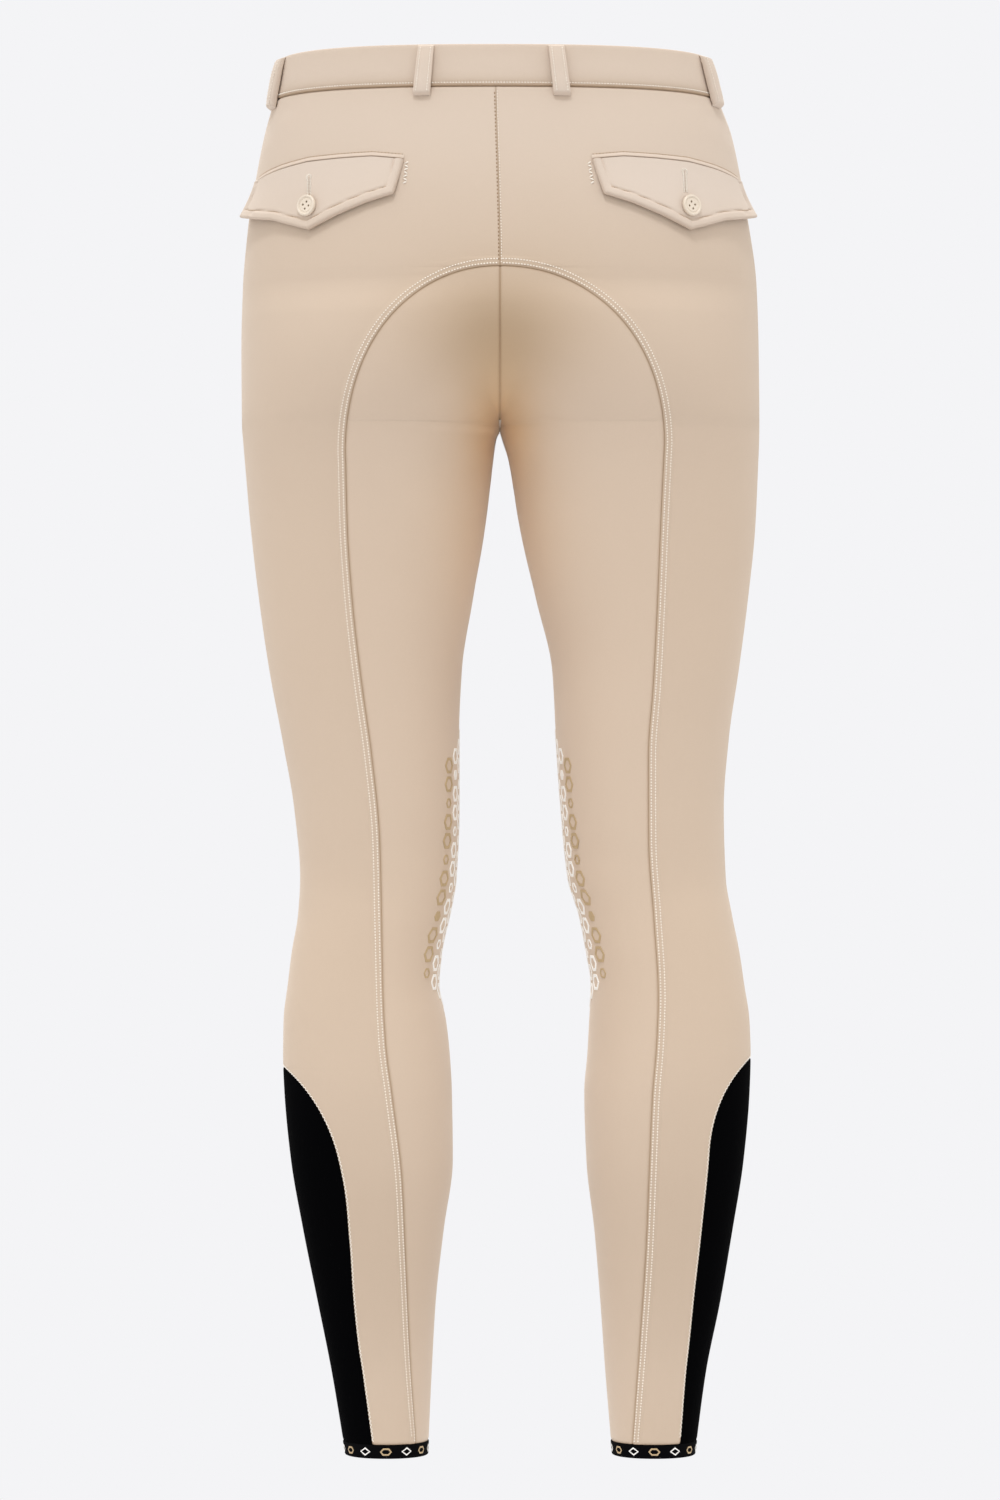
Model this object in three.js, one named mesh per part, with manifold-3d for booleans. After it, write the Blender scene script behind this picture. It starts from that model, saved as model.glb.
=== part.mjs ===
import * as THREE from 'three';
import { mergeVertices } from 'three/addons/utils/BufferGeometryUtils.js';
import Module from 'manifold-3d';

// Full-seat riding breeches, filled out as if worn: hollow cloth walls with open waist and hems.
// Millimetres, +Z up. The origin is the middle of the waist opening, level with the
// waistband's top edge at the centre back. The front faces -Y and the left leg is on +X.

// Driving dimensions
const length = 1000;
const crotchZ = -266;
const seamGap = 0.3;
const clothThickness = 1.4;
const waistband = { height: 30, thickness: 2.2, lap: 42, lapRamp: 16 };
const hem = { height: 10, thickness: 2 };
const loop = { width: 12, below: 7, topInset: 1 };
const flap = { thickness: 2.6, spansPerStep: 5 };
const welt = { height: 3.4, thickness: 1.6 };
const button = { diameter: 15.2, thickness: 2.8, rim: 1.6, wellDepth: 0.7, hole: 1.7, pitch: 3.6 };
const fly = { lapOver: 6, width: 34, length: 138, curve: 42, thickness: 1.6, belowSeam: 1.2 };

const halfGap = seamGap / 2;
const seamZ = -waistband.height;
const hemZ = hem.height - length;

// Tables hold one row for each section or seam height, with named columns
const table = (names, rows) => rows.map((row) => Object.fromEntries(names.map((name, i) => [name, row[i]])));

// Depths of the body: the fullest line of back and front, the line of the sides, how far the
// whole section leans to the left, how far past the centre line its ellipse would run as a
// share of its width, and how square the ellipse is
const bodyTable = table(['z', 'back', 'front', 'side', 'lean', 'across', 'squareness'], [
  [0, 98, -118, 32, 3.5, 1, 2.2],
  [-30, 104, -119, 27, 3, 1, 2.2],
  [-60, 113, -119, 20, 2.2, 1, 2.2],
  [-100, 125, -119, 12, 1, 1, 2.2],
  [-150, 135, -117, 8, 0, 1, 2.2],
  [-165, 137, -116, 7, 0, 1, 2.2],
  [-190, 138, -114, 6, 0, 0.52, 2.2],
  [-215, 135.5, -112, 6, 0, 0.25, 2.2],
  [-240, 129, -108, 5, 0, 0.1, 2.2],
  [-266, 118, -102, 5, 0, 0, 2.2],
  [-300, 107, -99, 3, 0, 0, 2.15],
  [-350, 94.5, -95, 0, 0, 0, 2.1],
  [-400, 83, -91, -3, 0, 0, 2.1],
  [-450, 73, -86, -5, 0, 0, 2.1],
  [-500, 66, -80, -6, 0, 0, 2.1],
  [-550, 61, -73, -6, 0, 0, 2.1],
  [-590, 58, -66, -4, 0, 0, 2.1],
  [-640, 62, -58, 3, 0, 0, 2.1],
  [-690, 68, -52, 8, 0, 0, 2.1],
  [-740, 72, -47, 12, 0, 0, 2.1],
  [-790, 70, -43, 13, 0, 0, 2.1],
  [-840, 63, -39, 12, 0, 0, 2.1],
  [-890, 54, -36, 9, 0, 0, 2.1],
  [-940, 46, -34, 6, 0, 0, 2.1],
  [-1000, 42, -33, 5, 0, 0, 2.1],
]);

// Half-widths of the hips and the outer and inner line of each leg, from the centre line.
// The right leg stands a little further out than the left.
const outlineTable = table(['z', 'leftOuter', 'leftInner', 'rightOuter', 'rightInner'], [
  [0, 152.5, 0, 152.5, 0],
  [-30, 157.5, 0, 158, 0],
  [-58, 165.8, 0, 167.5, 0],
  [-80, 171.2, 0, 171.9, 0],
  [-122, 179.6, 0, 178.4, 0],
  [-165, 183.9, 0, 183.6, 0],
  [-208, 185, 0, 185, 0],
  [-266, 184.6, halfGap, 185.6, halfGap],
  [-273, 184, 3, 185.5, 1.8],
  [-288, 182.8, 4.7, 185, 5.9],
  [-338, 178.5, 10.8, 182.8, 14.3],
  [-388, 172.8, 19.4, 177.8, 25.8],
  [-438, 165.6, 27.2, 171.4, 37.3],
  [-488, 156.3, 29.4, 164.2, 40.2],
  [-538, 147.7, 29.4, 160.6, 43.7],
  [-588, 143.4, 31.5, 162, 48.8],
  [-614, 144.8, 35.9, 166.3, 56.6],
  [-640, 149.1, 41.6, 171.4, 61.7],
  [-664, 152, 43.7, 174.9, 65.2],
  [-689, 154.9, 38.7, 178.5, 63.8],
  [-714, 155.2, 35.9, 179.3, 62.4],
  [-740, 154.2, 34.4, 178.5, 60.2],
  [-789, 149.5, 33.7, 174.2, 61.7],
  [-839, 140.8, 40.2, 166.3, 67.4],
  [-890, 130.6, 45.9, 157.7, 71.7],
  [-940, 120.7, 48.8, 147.7, 75.3],
  [-1000, 110.7, 51.6, 139.6, 80.3],
]);

// How far the waistband's top edge and its seam drop below their height at the centre back,
// and how late on the way to the side they start to
const waistDrop = { topSide: 6, topFront: 22, seamSide: 5, seamFront: 24, fadesAt: -150, late: 4 };

// The full seat: an arch from the centre back, then a line down the back of each leg.
// Widths are distances from the centre line, seen from behind.
const seatArch = {
  left: { top: -158.5, spring: -290, width: 108.6, power: 2.1 },
  right: { top: -158.5, spring: -284, width: 115.5, power: 2.1 },
};
const seatSeamTable = table(['z', 'left', 'right'], [
  [-280, 108.6, 115.5],
  [-340, 107.4, 113],
  [-395, 103.8, 111],
  [-450, 97.6, 108.4],
  [-500, 90.8, 105.1],
  [-560, 85.2, 105.4],
  [-615, 83.9, 109],
  [-670, 82.7, 112],
  [-705, 80.7, 110.7],
  [-740, 76.2, 107.8],
  [-800, 69.2, 105.3],
  [-850, 67, 103.4],
  [-925, 63.9, 98.6],
  [-1000, 59.2, 93.4],
]);

// Where the inner leg's panel ends on the front, as a share of the way round the leg
const frontSeamTable = table(['z', 'share'], [
  [crotchZ, 1],
  [-330, 0.93],
  [-430, 0.88],
  [-600, 0.85],
  [-800, 0.86],
  [-1000, 0.88],
]);

// The stretch panel at the ankle: an arch about the line of the side, measured on the cloth
const ankleArch = {
  left: { top: -722, spring: -800, width: 68.9, power: 2.35 },
  right: { top: -715.5, spring: -775, width: 59.5, power: 2.3 },
};
const ankleEdgeTable = table(['z', 'left', 'right'], [
  [-775, 68.9, 59.5],
  [-800, 68.9, 57.6],
  [-843, 62.8, 51.9],
  [-888, 53.8, 46.2],
  [-930, 47.7, 39.2],
  [-970, 45.6, 35.4],
  [-1000, 44.5, 33.6],
]);

// The back pocket's flap, from its inner end to the side: each step's place along the cloth
// from the centre back, and its height, on the top edge and on the pointed lower edge
const flapTable = table(['step', 'topAlong', 'topZ', 'lowAlong', 'lowZ'], [
  [0, 66, -83.2, 73.5, -107.8],
  [1, 89, -80.8, 94, -113.7],
  [2, 113, -81.5, 115, -121.4],
  [3, 139, -82.8, 138.8, -131.3],
  [4, 165, -86.6, 172, -123],
  [5, 204, -93.4, 224, -117.5],
]);
const flapRest = { gap: 0.3, tipLift: 1, endLift: 3.4, endFrom: 3.6 };
const buttonPlace = { along: 138.7, z: -114.5 };

// A belt loop's inner and outer face along its length, measured out from the waistband. Its
// ends are turned under, so they are thicker and lie on the cloth.
const loopForm = table(['along', 'inside', 'out'], [
  [0, 0.3, 2.6],
  [0.04, 0.3, 4],
  [0.13, 0.3, 4.8],
  [0.17, 2.6, 5.1],
  [0.3, 3.8, 5.8],
  [0.5, 4.2, 6.2],
  [0.7, 4.1, 6.2],
  [0.8, 3.2, 6],
  [0.84, 0.3, 5.8],
  [0.95, 0.3, 5],
  [1, 0.3, 3],
]);
const loopPlaces = {
  back: { left: 0.133, right: 0.118 },
  side: { left: 0.46, right: 0.44 },
  front: { left: 0.84, right: 0.84 },
};

// Smooth curve through one column of a table, without overshoot
function curveThrough(rows, name, key = 'z') {
  const sorted = [...rows].sort((p, q) => p[key] - q[key]);
  const z = sorted.map((row) => row[key]);
  const value = sorted.map((row) => row[name]);
  const last = z.length - 1;
  const slope = (i) => (value[i + 1] - value[i]) / (z[i + 1] - z[i]);
  const tangent = z.map((_, i) => {
    if (i === 0 || i === last) return slope(Math.min(i, last - 1));
    const product = slope(i - 1) * slope(i);
    return product > 0 ? (2 * product) / (slope(i - 1) + slope(i)) : 0;
  });
  return (at) => {
    if (at <= z[0]) return value[0];
    if (at >= z[last]) return value[last];
    const i = z.findIndex((edge) => edge > at) - 1;
    const step = z[i + 1] - z[i];
    const t = (at - z[i]) / step;
    const fromEnd = t * t * (3 - 2 * t);
    const pull = step * t * (1 - t);
    return value[i] * (1 - fromEnd) + value[i + 1] * fromEnd
      + pull * ((1 - t) * tangent[i] - t * tangent[i + 1]);
  };
}

const bodyColumns = ['back', 'front', 'side', 'lean', 'across', 'squareness'];
const body = Object.fromEntries(bodyColumns.map((name) => [name, curveThrough(bodyTable, name)]));
const bothSides = (make) => ({ left: make('left'), right: make('right') });
const outline = bothSides((side) => ({
  outer: curveThrough(outlineTable, `${side}Outer`),
  inner: curveThrough(outlineTable, `${side}Inner`),
}));
const sign = { left: 1, right: -1 };

const smooth = (t) => t * t * (3 - 2 * t);
const clamp01 = (t) => Math.min(1, Math.max(0, t));
const mix = (from, to, t) => from + (to - from) * t;

// One horizontal section: a superellipse about the leg below the crotch, and above it one that
// reaches past the centre line, where the other side meets it
function ellipseAt(side, z) {
  const outer = outline[side].outer(z);
  const inner = z > crotchZ ? -body.across(z) * outer : outline[side].inner(z);
  const centre = (outer + inner) / 2;
  return { centre, halfWidth: (outer - inner) / 2, inner, squareness: body.squareness(z) };
}

// The valley between the two halves is rounded within this distance of the centre line
const valley = { radius: 22, growsOver: 45 };

// Point at an angle round the section: 0 is the side, pi the inner leg, negative the front
function sectionPoint(side, angle, z) {
  const { centre, halfWidth, squareness } = ellipseAt(side, z);
  const facesBack = angle >= 0;
  const depth = facesBack ? body.back(z) - body.side(z) : body.front(z) - body.side(z);
  const power = 2 / squareness;
  const x = centre + halfWidth * Math.sign(Math.cos(angle)) * Math.abs(Math.cos(angle)) ** power;
  const depthAt = (u) => depth * Math.max(0, 1 - Math.abs(u) ** squareness) ** (1 / squareness);
  let y = depth * Math.abs(Math.sin(angle)) ** power;
  const radius = valley.radius * smooth(clamp01((z - crotchZ) / valley.growsOver));
  if (radius > 0 && x < radius) {
    const edge = (radius - centre) / halfWidth;
    const step = 0.02;
    const rise = (depthAt(edge + step) - depthAt(edge - step)) / (2 * step * halfWidth);
    y = depthAt(edge) + (rise * (x * x - radius * radius)) / (2 * radius);
  }
  return new THREE.Vector3(sign[side] * x + body.lean(z), body.side(z) + y, z);
}

// Share of the way round a section: 0 at the centre back or inner leg, 0.5 at the side,
// 1 at the centre front or inner leg, each half by length of cloth
const sectionSteps = 60;
const sectionCache = new Map();
function sectionRound(side, z) {
  const key = `${side} ${z.toFixed(3)}`;
  if (sectionCache.has(key)) return sectionCache.get(key);
  const { centre, halfWidth, inner, squareness } = ellipseAt(side, z);
  const cut = Math.max(-1, (halfGap - centre) / halfWidth);
  const cutAngle = inner < halfGap ? Math.acos(Math.sign(cut) * Math.abs(cut) ** (squareness / 2)) : Math.PI;
  const half = (direction) => {
    const angles = Array.from({ length: sectionSteps + 1 }, (_, i) => (cutAngle * i) / sectionSteps);
    const lengths = [0];
    let before = sectionPoint(side, 0, z);
    for (const angle of angles.slice(1)) {
      const point = sectionPoint(side, direction * angle, z);
      lengths.push(lengths.at(-1) + point.distanceTo(before));
      before = point;
    }
    return { angles, lengths, total: lengths.at(-1) };
  };
  const round = { back: half(1), front: half(-1) };
  sectionCache.set(key, round);
  return round;
}

function angleAt(side, share, z) {
  const wrapped = share < 0 ? share + 1 : share;
  const facesBack = wrapped < 0.5;
  const { angles, lengths, total } = sectionRound(side, z)[facesBack ? 'back' : 'front'];
  const distance = Math.abs(0.5 - wrapped) * 2 * total;
  const i = Math.max(1, lengths.findIndex((value) => value >= distance - 1e-9));
  const t = (distance - lengths[i - 1]) / (lengths[i] - lengths[i - 1]);
  return (facesBack ? 1 : -1) * mix(angles[i - 1], angles[i], t);
}

// Point on the cloth's outer face, moved out by a distance
function clothPoint(side, share, z, out = 0) {
  const angle = angleAt(side, share, z);
  const turn = 0.01;
  const rise = 0.5;
  const round = sectionPoint(side, angle + turn, z).sub(sectionPoint(side, angle - turn, z));
  const up = sectionPoint(side, angle, z + rise).sub(sectionPoint(side, angle, z - rise));
  const normal = round.cross(up).normalize().multiplyScalar(sign[side]);
  return sectionPoint(side, angle, z).addScaledVector(normal, out);
}

// Share of the way round for a distance from the centre line seen from behind
function shareOfWidth(side, width, z) {
  const { centre, halfWidth, squareness } = ellipseAt(side, z);
  const u = Math.min(1, (Math.max(width, halfGap) - centre) / halfWidth);
  const angle = Math.acos(Math.sign(u) * Math.abs(u) ** (squareness / 2)) - 1e-9;
  const { angles, lengths, total } = sectionRound(side, z).back;
  const i = Math.max(1, angles.findIndex((value) => value >= angle));
  const t = clamp01((angle - angles[i - 1]) / (angles[i] - angles[i - 1]));
  return 0.5 * (1 - mix(lengths[i - 1], lengths[i], t) / total);
}

// Share that a length of cloth takes, on the back or the front half
function shareOfLength(side, distance, z, half) {
  return (0.5 * distance) / sectionRound(side, z)[half].total;
}

// Half-width of an arch at a height: none above its top, then a superellipse down to its
// spring line, and the table's column below that
function archWidth(arch, below, z) {
  if (z >= arch.top) return 0;
  if (z <= arch.spring) return below(z);
  const rise = (z - arch.spring) / (arch.top - arch.spring);
  return arch.width * (1 - rise ** arch.power) ** (1 / arch.power);
}

const seatLine = bothSides((side) => curveThrough(seatSeamTable, side));
const ankleLine = bothSides((side) => curveThrough(ankleEdgeTable, side));
const frontSeam = curveThrough(frontSeamTable, 'share');

const seatShare = (side, z, at) => shareOfWidth(side, archWidth(seatArch[side], seatLine[side], at), z);
const ankleShare = (side, z, at, half) => (
  shareOfLength(side, archWidth(ankleArch[side], ankleLine[side], at), z, half));
const gapShare = (side, z, half) => shareOfLength(side, halfGap, z, half);

// Height of a row on the cloth: level at the hips, and curved with the waist above them
function rowZ(height, share) {
  const toSide = clamp01(share * 2) ** waistDrop.late;
  const toFront = smooth(clamp01(share * 2 - 1));
  const seamDrop = mix(waistDrop.seamSide * toSide, waistDrop.seamFront, toFront);
  const topDrop = mix(waistDrop.topSide * toSide, waistDrop.topFront, toFront);
  if (height > seamZ) return height - mix(topDrop, seamDrop, height / seamZ);
  const fade = 1 - smooth(clamp01((height - seamZ) / (waistDrop.fadesAt - seamZ)));
  return height - seamDrop * fade;
}

// Rows of a side's panels from waist to hem, closer together where a seam turns
const even = (t) => t;
const closeAtStart = (t) => t * t;
const closeAtEnd = (t) => 1 - (1 - t) ** 2;
const archPower = 2.6;
const closeAtTop = (t) => t ** archPower;
const rowsBetween = (from, to, count, spacing = even) => (
  Array.from({ length: count }, (_, i) => mix(from, to, spacing(i / count))));
const hipZ = -215;
const thighZ = -330;
const ankleArchRows = 60;
function heightsOf(side) {
  const seatTop = seatArch[side].top;
  const ankleTop = ankleArch[side].top;
  return [
    ...rowsBetween(seamZ, seatTop, 4),
    ...rowsBetween(seatTop, hipZ, 6, closeAtTop),
    ...rowsBetween(hipZ, crotchZ, 5, closeAtEnd),
    ...rowsBetween(crotchZ, thighZ, 4, closeAtStart),
    ...rowsBetween(thighZ, ankleTop, 11),
    ...rowsBetween(ankleTop, ankleTop - ankleArchRows, 6, closeAtTop),
    ...rowsBetween(ankleTop - ankleArchRows, hemZ, 6),
    hemZ,
  ];
}

// The rows from one seam down to another, with half the seam's gap at each
function rowsWithin(heights, top, low, apex) {
  const inner = heights.filter((z) => z < top - halfGap && z > low + halfGap);
  return [top - halfGap, ...inner.map((z) => (z === apex ? z + halfGap : z)), low + halfGap];
}

// A closed cloth wall from a grid of places on the body, each with an outer and inner offset
function clothWall(grid, closed = false) {
  const wide = grid[0].length;
  const positions = [];
  for (const face of ['out', 'inside']) {
    for (const row of grid) {
      for (const spot of row) positions.push(...clothPoint(spot.side, spot.share, spot.z, spot[face]));
    }
  }
  const at = (i, j) => i * wide + (j % wide);
  const inner = (i, j) => grid.length * wide + at(i, j);
  const faces = [];
  const quad = (a, b, c, d) => faces.push([a, b, c], [a, c, d]);
  const across = closed ? wide : wide - 1;
  for (let j = 0; j < across; j += 1) {
    for (let i = 0; i < grid.length - 1; i += 1) {
      quad(at(i, j), at(i + 1, j), at(i + 1, j + 1), at(i, j + 1));
      quad(inner(i, j), inner(i, j + 1), inner(i + 1, j + 1), inner(i + 1, j));
    }
    const last = grid.length - 1;
    quad(at(0, j), at(0, j + 1), inner(0, j + 1), inner(0, j));
    quad(at(last, j), inner(last, j), inner(last, j + 1), at(last, j + 1));
  }
  if (!closed) {
    for (let i = 0; i < grid.length - 1; i += 1) {
      quad(at(i, 0), inner(i, 0), inner(i + 1, 0), at(i + 1, 0));
      quad(at(i, wide - 1), at(i + 1, wide - 1), inner(i + 1, wide - 1), inner(i, wide - 1));
    }
  }
  return closedGeometry(positions, faces);
}

// Merge equal corners, drop faces that have none left between them, and turn all faces out
function closedGeometry(positions, faces) {
  const raw = new THREE.BufferGeometry();
  raw.setAttribute('position', new THREE.Float32BufferAttribute(positions, 3));
  raw.setIndex(faces.flat());
  const merged = mergeVertices(raw, 1e-3);
  const index = [...merged.index.array];
  const kept = [];
  for (let i = 0; i < index.length; i += 3) {
    const [a, b, c] = index.slice(i, i + 3);
    if (a !== b && b !== c && c !== a) kept.push(a, b, c);
  }
  const corner = (i) => new THREE.Vector3().fromBufferAttribute(merged.attributes.position, i);
  let volume = 0;
  for (let i = 0; i < kept.length; i += 3) {
    volume += corner(kept[i]).dot(corner(kept[i + 1]).cross(corner(kept[i + 2])));
  }
  merged.setIndex(volume > 0 ? kept : kept.reverse());
  merged.computeVertexNormals();
  return merged;
}

// A body panel between two edges, its columns closer together towards one of them
function panel(side, heights, columns, edges, spacing = even) {
  const grid = heights.map((height) => {
    const [from, to] = edges(height);
    return Array.from({ length: columns + 1 }, (_, j) => {
      const share = mix(from, to, spacing(j / columns));
      return { side, share, z: rowZ(height, share), out: 0, inside: -clothThickness };
    });
  });
  return clothWall(grid);
}

// Towards the side the hips turn most sharply
const sidePower = 1.4;
const closerAtEnd = (t) => 1 - (1 - t) ** sidePower;
const closerAtStart = (t) => t ** sidePower;
const panelColumns = { front: 9, back: 8, seat: 11, ankle: 6 };

function frontPanel(side) {
  const heights = rowsWithin(heightsOf(side), seamZ, hemZ, ankleArch[side].top);
  return panel(side, heights, panelColumns.front, (z) => {
    const gap = gapShare(side, z, 'front');
    const inner = z >= crotchZ ? 1 : frontSeam(z);
    return [0.5 + ankleShare(side, z, z - halfGap, 'front') + gap, inner - gap];
  }, closerAtStart);
}

function backPanel(side) {
  const heights = rowsWithin(heightsOf(side), seamZ, hemZ, ankleArch[side].top)
    .map((z) => (z === seatArch[side].top ? z + halfGap : z));
  return panel(side, heights, panelColumns.back, (z) => {
    const gap = gapShare(side, z, 'back');
    const inner = z > seatArch[side].top ? 0 : seatShare(side, z, z - halfGap);
    return [inner + gap, 0.5 - ankleShare(side, z, z - halfGap, 'back') - gap];
  }, closerAtEnd);
}

function seatPanel(side) {
  const heights = rowsWithin(heightsOf(side), seatArch[side].top, hemZ);
  return panel(side, heights, panelColumns.seat, (z) => {
    const gap = gapShare(side, z, 'back');
    const inner = z >= crotchZ ? 0 : frontSeam(z) - 1;
    return [inner + gap, Math.max(inner + gap, seatShare(side, z, z + halfGap) - gap)];
  });
}

function anklePanel(side) {
  const heights = rowsWithin(heightsOf(side), ankleArch[side].top, hemZ);
  return panel(side, heights, panelColumns.ankle, (z) => {
    const gap = gapShare(side, z, 'back');
    const back = Math.max(0, ankleShare(side, z, z + halfGap, 'back') - gap);
    const front = Math.max(0, ankleShare(side, z, z + halfGap, 'front') - gap);
    return [0.5 - back, 0.5 + front];
  });
}

// A ring of doubled cloth round the ankle
const hemSteps = 26;
function hemBand(side) {
  const proud = 0.3;
  const grid = [hemZ - halfGap, -length].map((z) => (
    Array.from({ length: hemSteps }, (_, j) => (
      { side, share: j / hemSteps, z, out: proud, inside: proud - hem.thickness }))));
  return clothWall(grid, true);
}

// The waistband runs from the right front round the back to the left front, steps out there
// and laps over its own right end
const bandSteps = 32;
function waistbandWall() {
  const stepOut = waistband.thickness + 2 * seamGap;
  const round = (side, from, to, count, outAt) => Array.from({ length: count + 1 }, (_, i) => {
    const share = mix(from, to, i / count);
    return { side, share, step: outAt(i / count) };
  });
  const rampShare = shareOfLength('left', waistband.lapRamp, seamZ, 'front');
  const lapShare = shareOfLength('right', waistband.lap, seamZ, 'front');
  const flat = () => 0;
  const path = [
    ...round('right', 1, 0.5, bandSteps / 2, flat),
    ...round('right', 0.5, 0, bandSteps / 2, flat).slice(1),
    ...round('left', 0, 0.5, bandSteps / 2, flat).slice(1),
    ...round('left', 0.5, 1 - rampShare, bandSteps / 2, flat).slice(1),
    ...round('left', 1 - rampShare, 1, 4, (t) => stepOut * smooth(t)).slice(1),
    ...round('right', 1, 1 - lapShare, 3, () => stepOut).slice(1),
  ];
  const heights = [0, seamZ / 2, seamZ + halfGap];
  const grid = heights.map((height) => path.map(({ side, share, step }) => (
    { side, share, z: rowZ(height, share), out: step, inside: step - waistband.thickness })));
  return clothWall(grid);
}

// A strip of folded cloth, sewn down at both ends and bowed out between them
function beltLoop(side, centre) {
  const low = seamZ - loop.below;
  const half = shareOfLength(side, loop.width / 2, seamZ, centre < 0.5 ? 'back' : 'front');
  const grid = loopForm.map(({ along, inside, out }) => {
    const height = mix(-loop.topInset, low, along);
    return [-1, 0, 1].map((across) => {
      const share = centre + across * half;
      return { side, share, z: rowZ(height, share), inside, out };
    });
  });
  return clothWall(grid);
}

const flapEdge = Object.fromEntries(['topAlong', 'topZ', 'lowAlong', 'lowZ'].map((name) => (
  [name, (step) => {
    const i = Math.min(flapTable.length - 2, Math.floor(step));
    return mix(flapTable[i][name], flapTable[i + 1][name], step - i);
  }])));
const flapSteps = (flapTable.length - 1) * flap.spansPerStep;
const stepAt = (j) => j / flap.spansPerStep;

// How far the flap lifts off the panel: a little along its lower edge, more at its outer end
function flapLift(step, down) {
  const end = smooth(clamp01((step - flapRest.endFrom) / (flapTable.length - 1 - flapRest.endFrom)));
  return flapRest.gap + down * down * mix(flapRest.tipLift, flapRest.tipLift + flapRest.endLift, end);
}

const flapRows = 3;
function pocketFlap(side) {
  const grid = Array.from({ length: flapRows + 1 }, (_, i) => {
    const down = i / flapRows;
    return Array.from({ length: flapSteps + 1 }, (__, j) => {
      const step = stepAt(j);
      const z = mix(flapEdge.topZ(step), flapEdge.lowZ(step), down);
      const along = mix(flapEdge.topAlong(step), flapEdge.lowAlong(step), down);
      const inside = flapLift(step, down);
      return { side, share: shareOfLength(side, along, z, 'back'), z, inside, out: inside + flap.thickness };
    });
  });
  return clothWall(grid);
}

// The turned edge of the pocket's cut, just above the flap
function pocketWelt(side) {
  const grid = [seamGap + welt.height, seamGap].map((above) => (
    Array.from({ length: flapSteps + 1 }, (_, j) => {
      const step = stepAt(j);
      const z = flapEdge.topZ(step) + above;
      const share = shareOfLength(side, flapEdge.topAlong(step), z, 'back');
      return { side, share, z, inside: seamGap, out: seamGap + welt.thickness };
    })));
  return clothWall(grid);
}

// The fly's outer lap: from just past the centre front to its stitched edge, curved at the end
const flyRows = 9;
const flyColumns = 4;
function flyLap() {
  const top = seamZ - fly.belowSeam;
  const grid = Array.from({ length: flyRows + 1 }, (_, i) => {
    const height = top - fly.length * closeAtEnd(i / flyRows);
    const z = rowZ(height, 1);
    const turn = clamp01((height - top + fly.length) / fly.curve);
    const reach = fly.width * Math.sqrt(1 - (1 - turn) ** 2);
    return Array.from({ length: flyColumns + 1 }, (__, j) => {
      const across = mix(-fly.lapOver, Math.max(reach, 1 - fly.lapOver), j / flyColumns);
      const side = across < 0 ? 'right' : 'left';
      const share = 1 - shareOfLength(side, Math.abs(across), z, 'front');
      return { side, share, z, inside: seamGap, out: seamGap + fly.thickness };
    });
  });
  return clothWall(grid);
}

// Booleans: a closed mesh with merged corners becomes a solid, and back again
const wasm = await Module();
wasm.setup();
function solidOf(geometry) {
  const bare = geometry.clone();
  bare.deleteAttribute('normal');
  bare.deleteAttribute('uv');
  const merged = mergeVertices(bare, 1e-4);
  return new wasm.Manifold(new wasm.Mesh({
    numProp: 3,
    vertProperties: new Float32Array(merged.attributes.position.array),
    triVerts: new Uint32Array(merged.index.array),
  }));
}
function geometryOf(solid) {
  const mesh = solid.getMesh();
  const geometry = new THREE.BufferGeometry();
  geometry.setAttribute('position', new THREE.Float32BufferAttribute(mesh.vertProperties, 3));
  geometry.setIndex([...mesh.triVerts]);
  geometry.computeVertexNormals();
  return geometry;
}

// Four-hole button with a raised rim, standing on its back at z = 0
function buttonGeometry() {
  const radius = button.diameter / 2;
  const bevel = 0.7;
  const wellZ = button.thickness - button.wellDepth;
  const profile = [
    [0, 0], [radius - bevel, 0], [radius, bevel], [radius, button.thickness - bevel],
    [radius - bevel, button.thickness], [radius - button.rim, button.thickness],
    [radius - button.rim - bevel, wellZ], [0, wellZ],
  ].map(([r, z]) => new THREE.Vector2(r, z));
  let solid = solidOf(new THREE.LatheGeometry(profile, 28).rotateX(Math.PI / 2));
  for (const x of [-1, 1]) {
    for (const y of [-1, 1]) {
      const hole = new THREE.CylinderGeometry(button.hole / 2, button.hole / 2, 3 * button.thickness, 10);
      hole.rotateX(Math.PI / 2).translate((x * button.pitch) / 2, (y * button.pitch) / 2, 0);
      solid = solid.subtract(solidOf(hole));
    }
  }
  return geometryOf(solid);
}

// The button lies on the flap above its point, facing straight out from the cloth
function placeButton(mesh, side) {
  const { along, z } = buttonPlace;
  const share = shareOfLength(side, along, z, 'back');
  const down = (flapEdge.topZ(3) - z) / (flapEdge.topZ(3) - flapEdge.lowZ(3));
  const seat = flapLift(3, down) + flap.thickness + seamGap;
  mesh.position.copy(clothPoint(side, share, z, seat));
  const outward = clothPoint(side, share, z, seat + 1).sub(mesh.position);
  mesh.quaternion.setFromUnitVectors(new THREE.Vector3(0, 0, 1), outward.normalize());
}

const finish = (color, roughness) => new THREE.MeshStandardMaterial({ color, roughness, metalness: 0 });
const materials = {
  cloth: finish(0xdcc3a8, 0.75),
  seatCloth: finish(0xd2b899, 0.8),
  stretch: finish(0x111113, 0.7),
  band: finish(0x17161a, 0.6),
  button: finish(0xeadac3, 0.35),
};

const breeches = new THREE.Group();
function add(name, geometry, material) {
  const mesh = new THREE.Mesh(geometry, material);
  mesh.name = name;
  breeches.add(mesh);
  return mesh;
}

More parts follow.
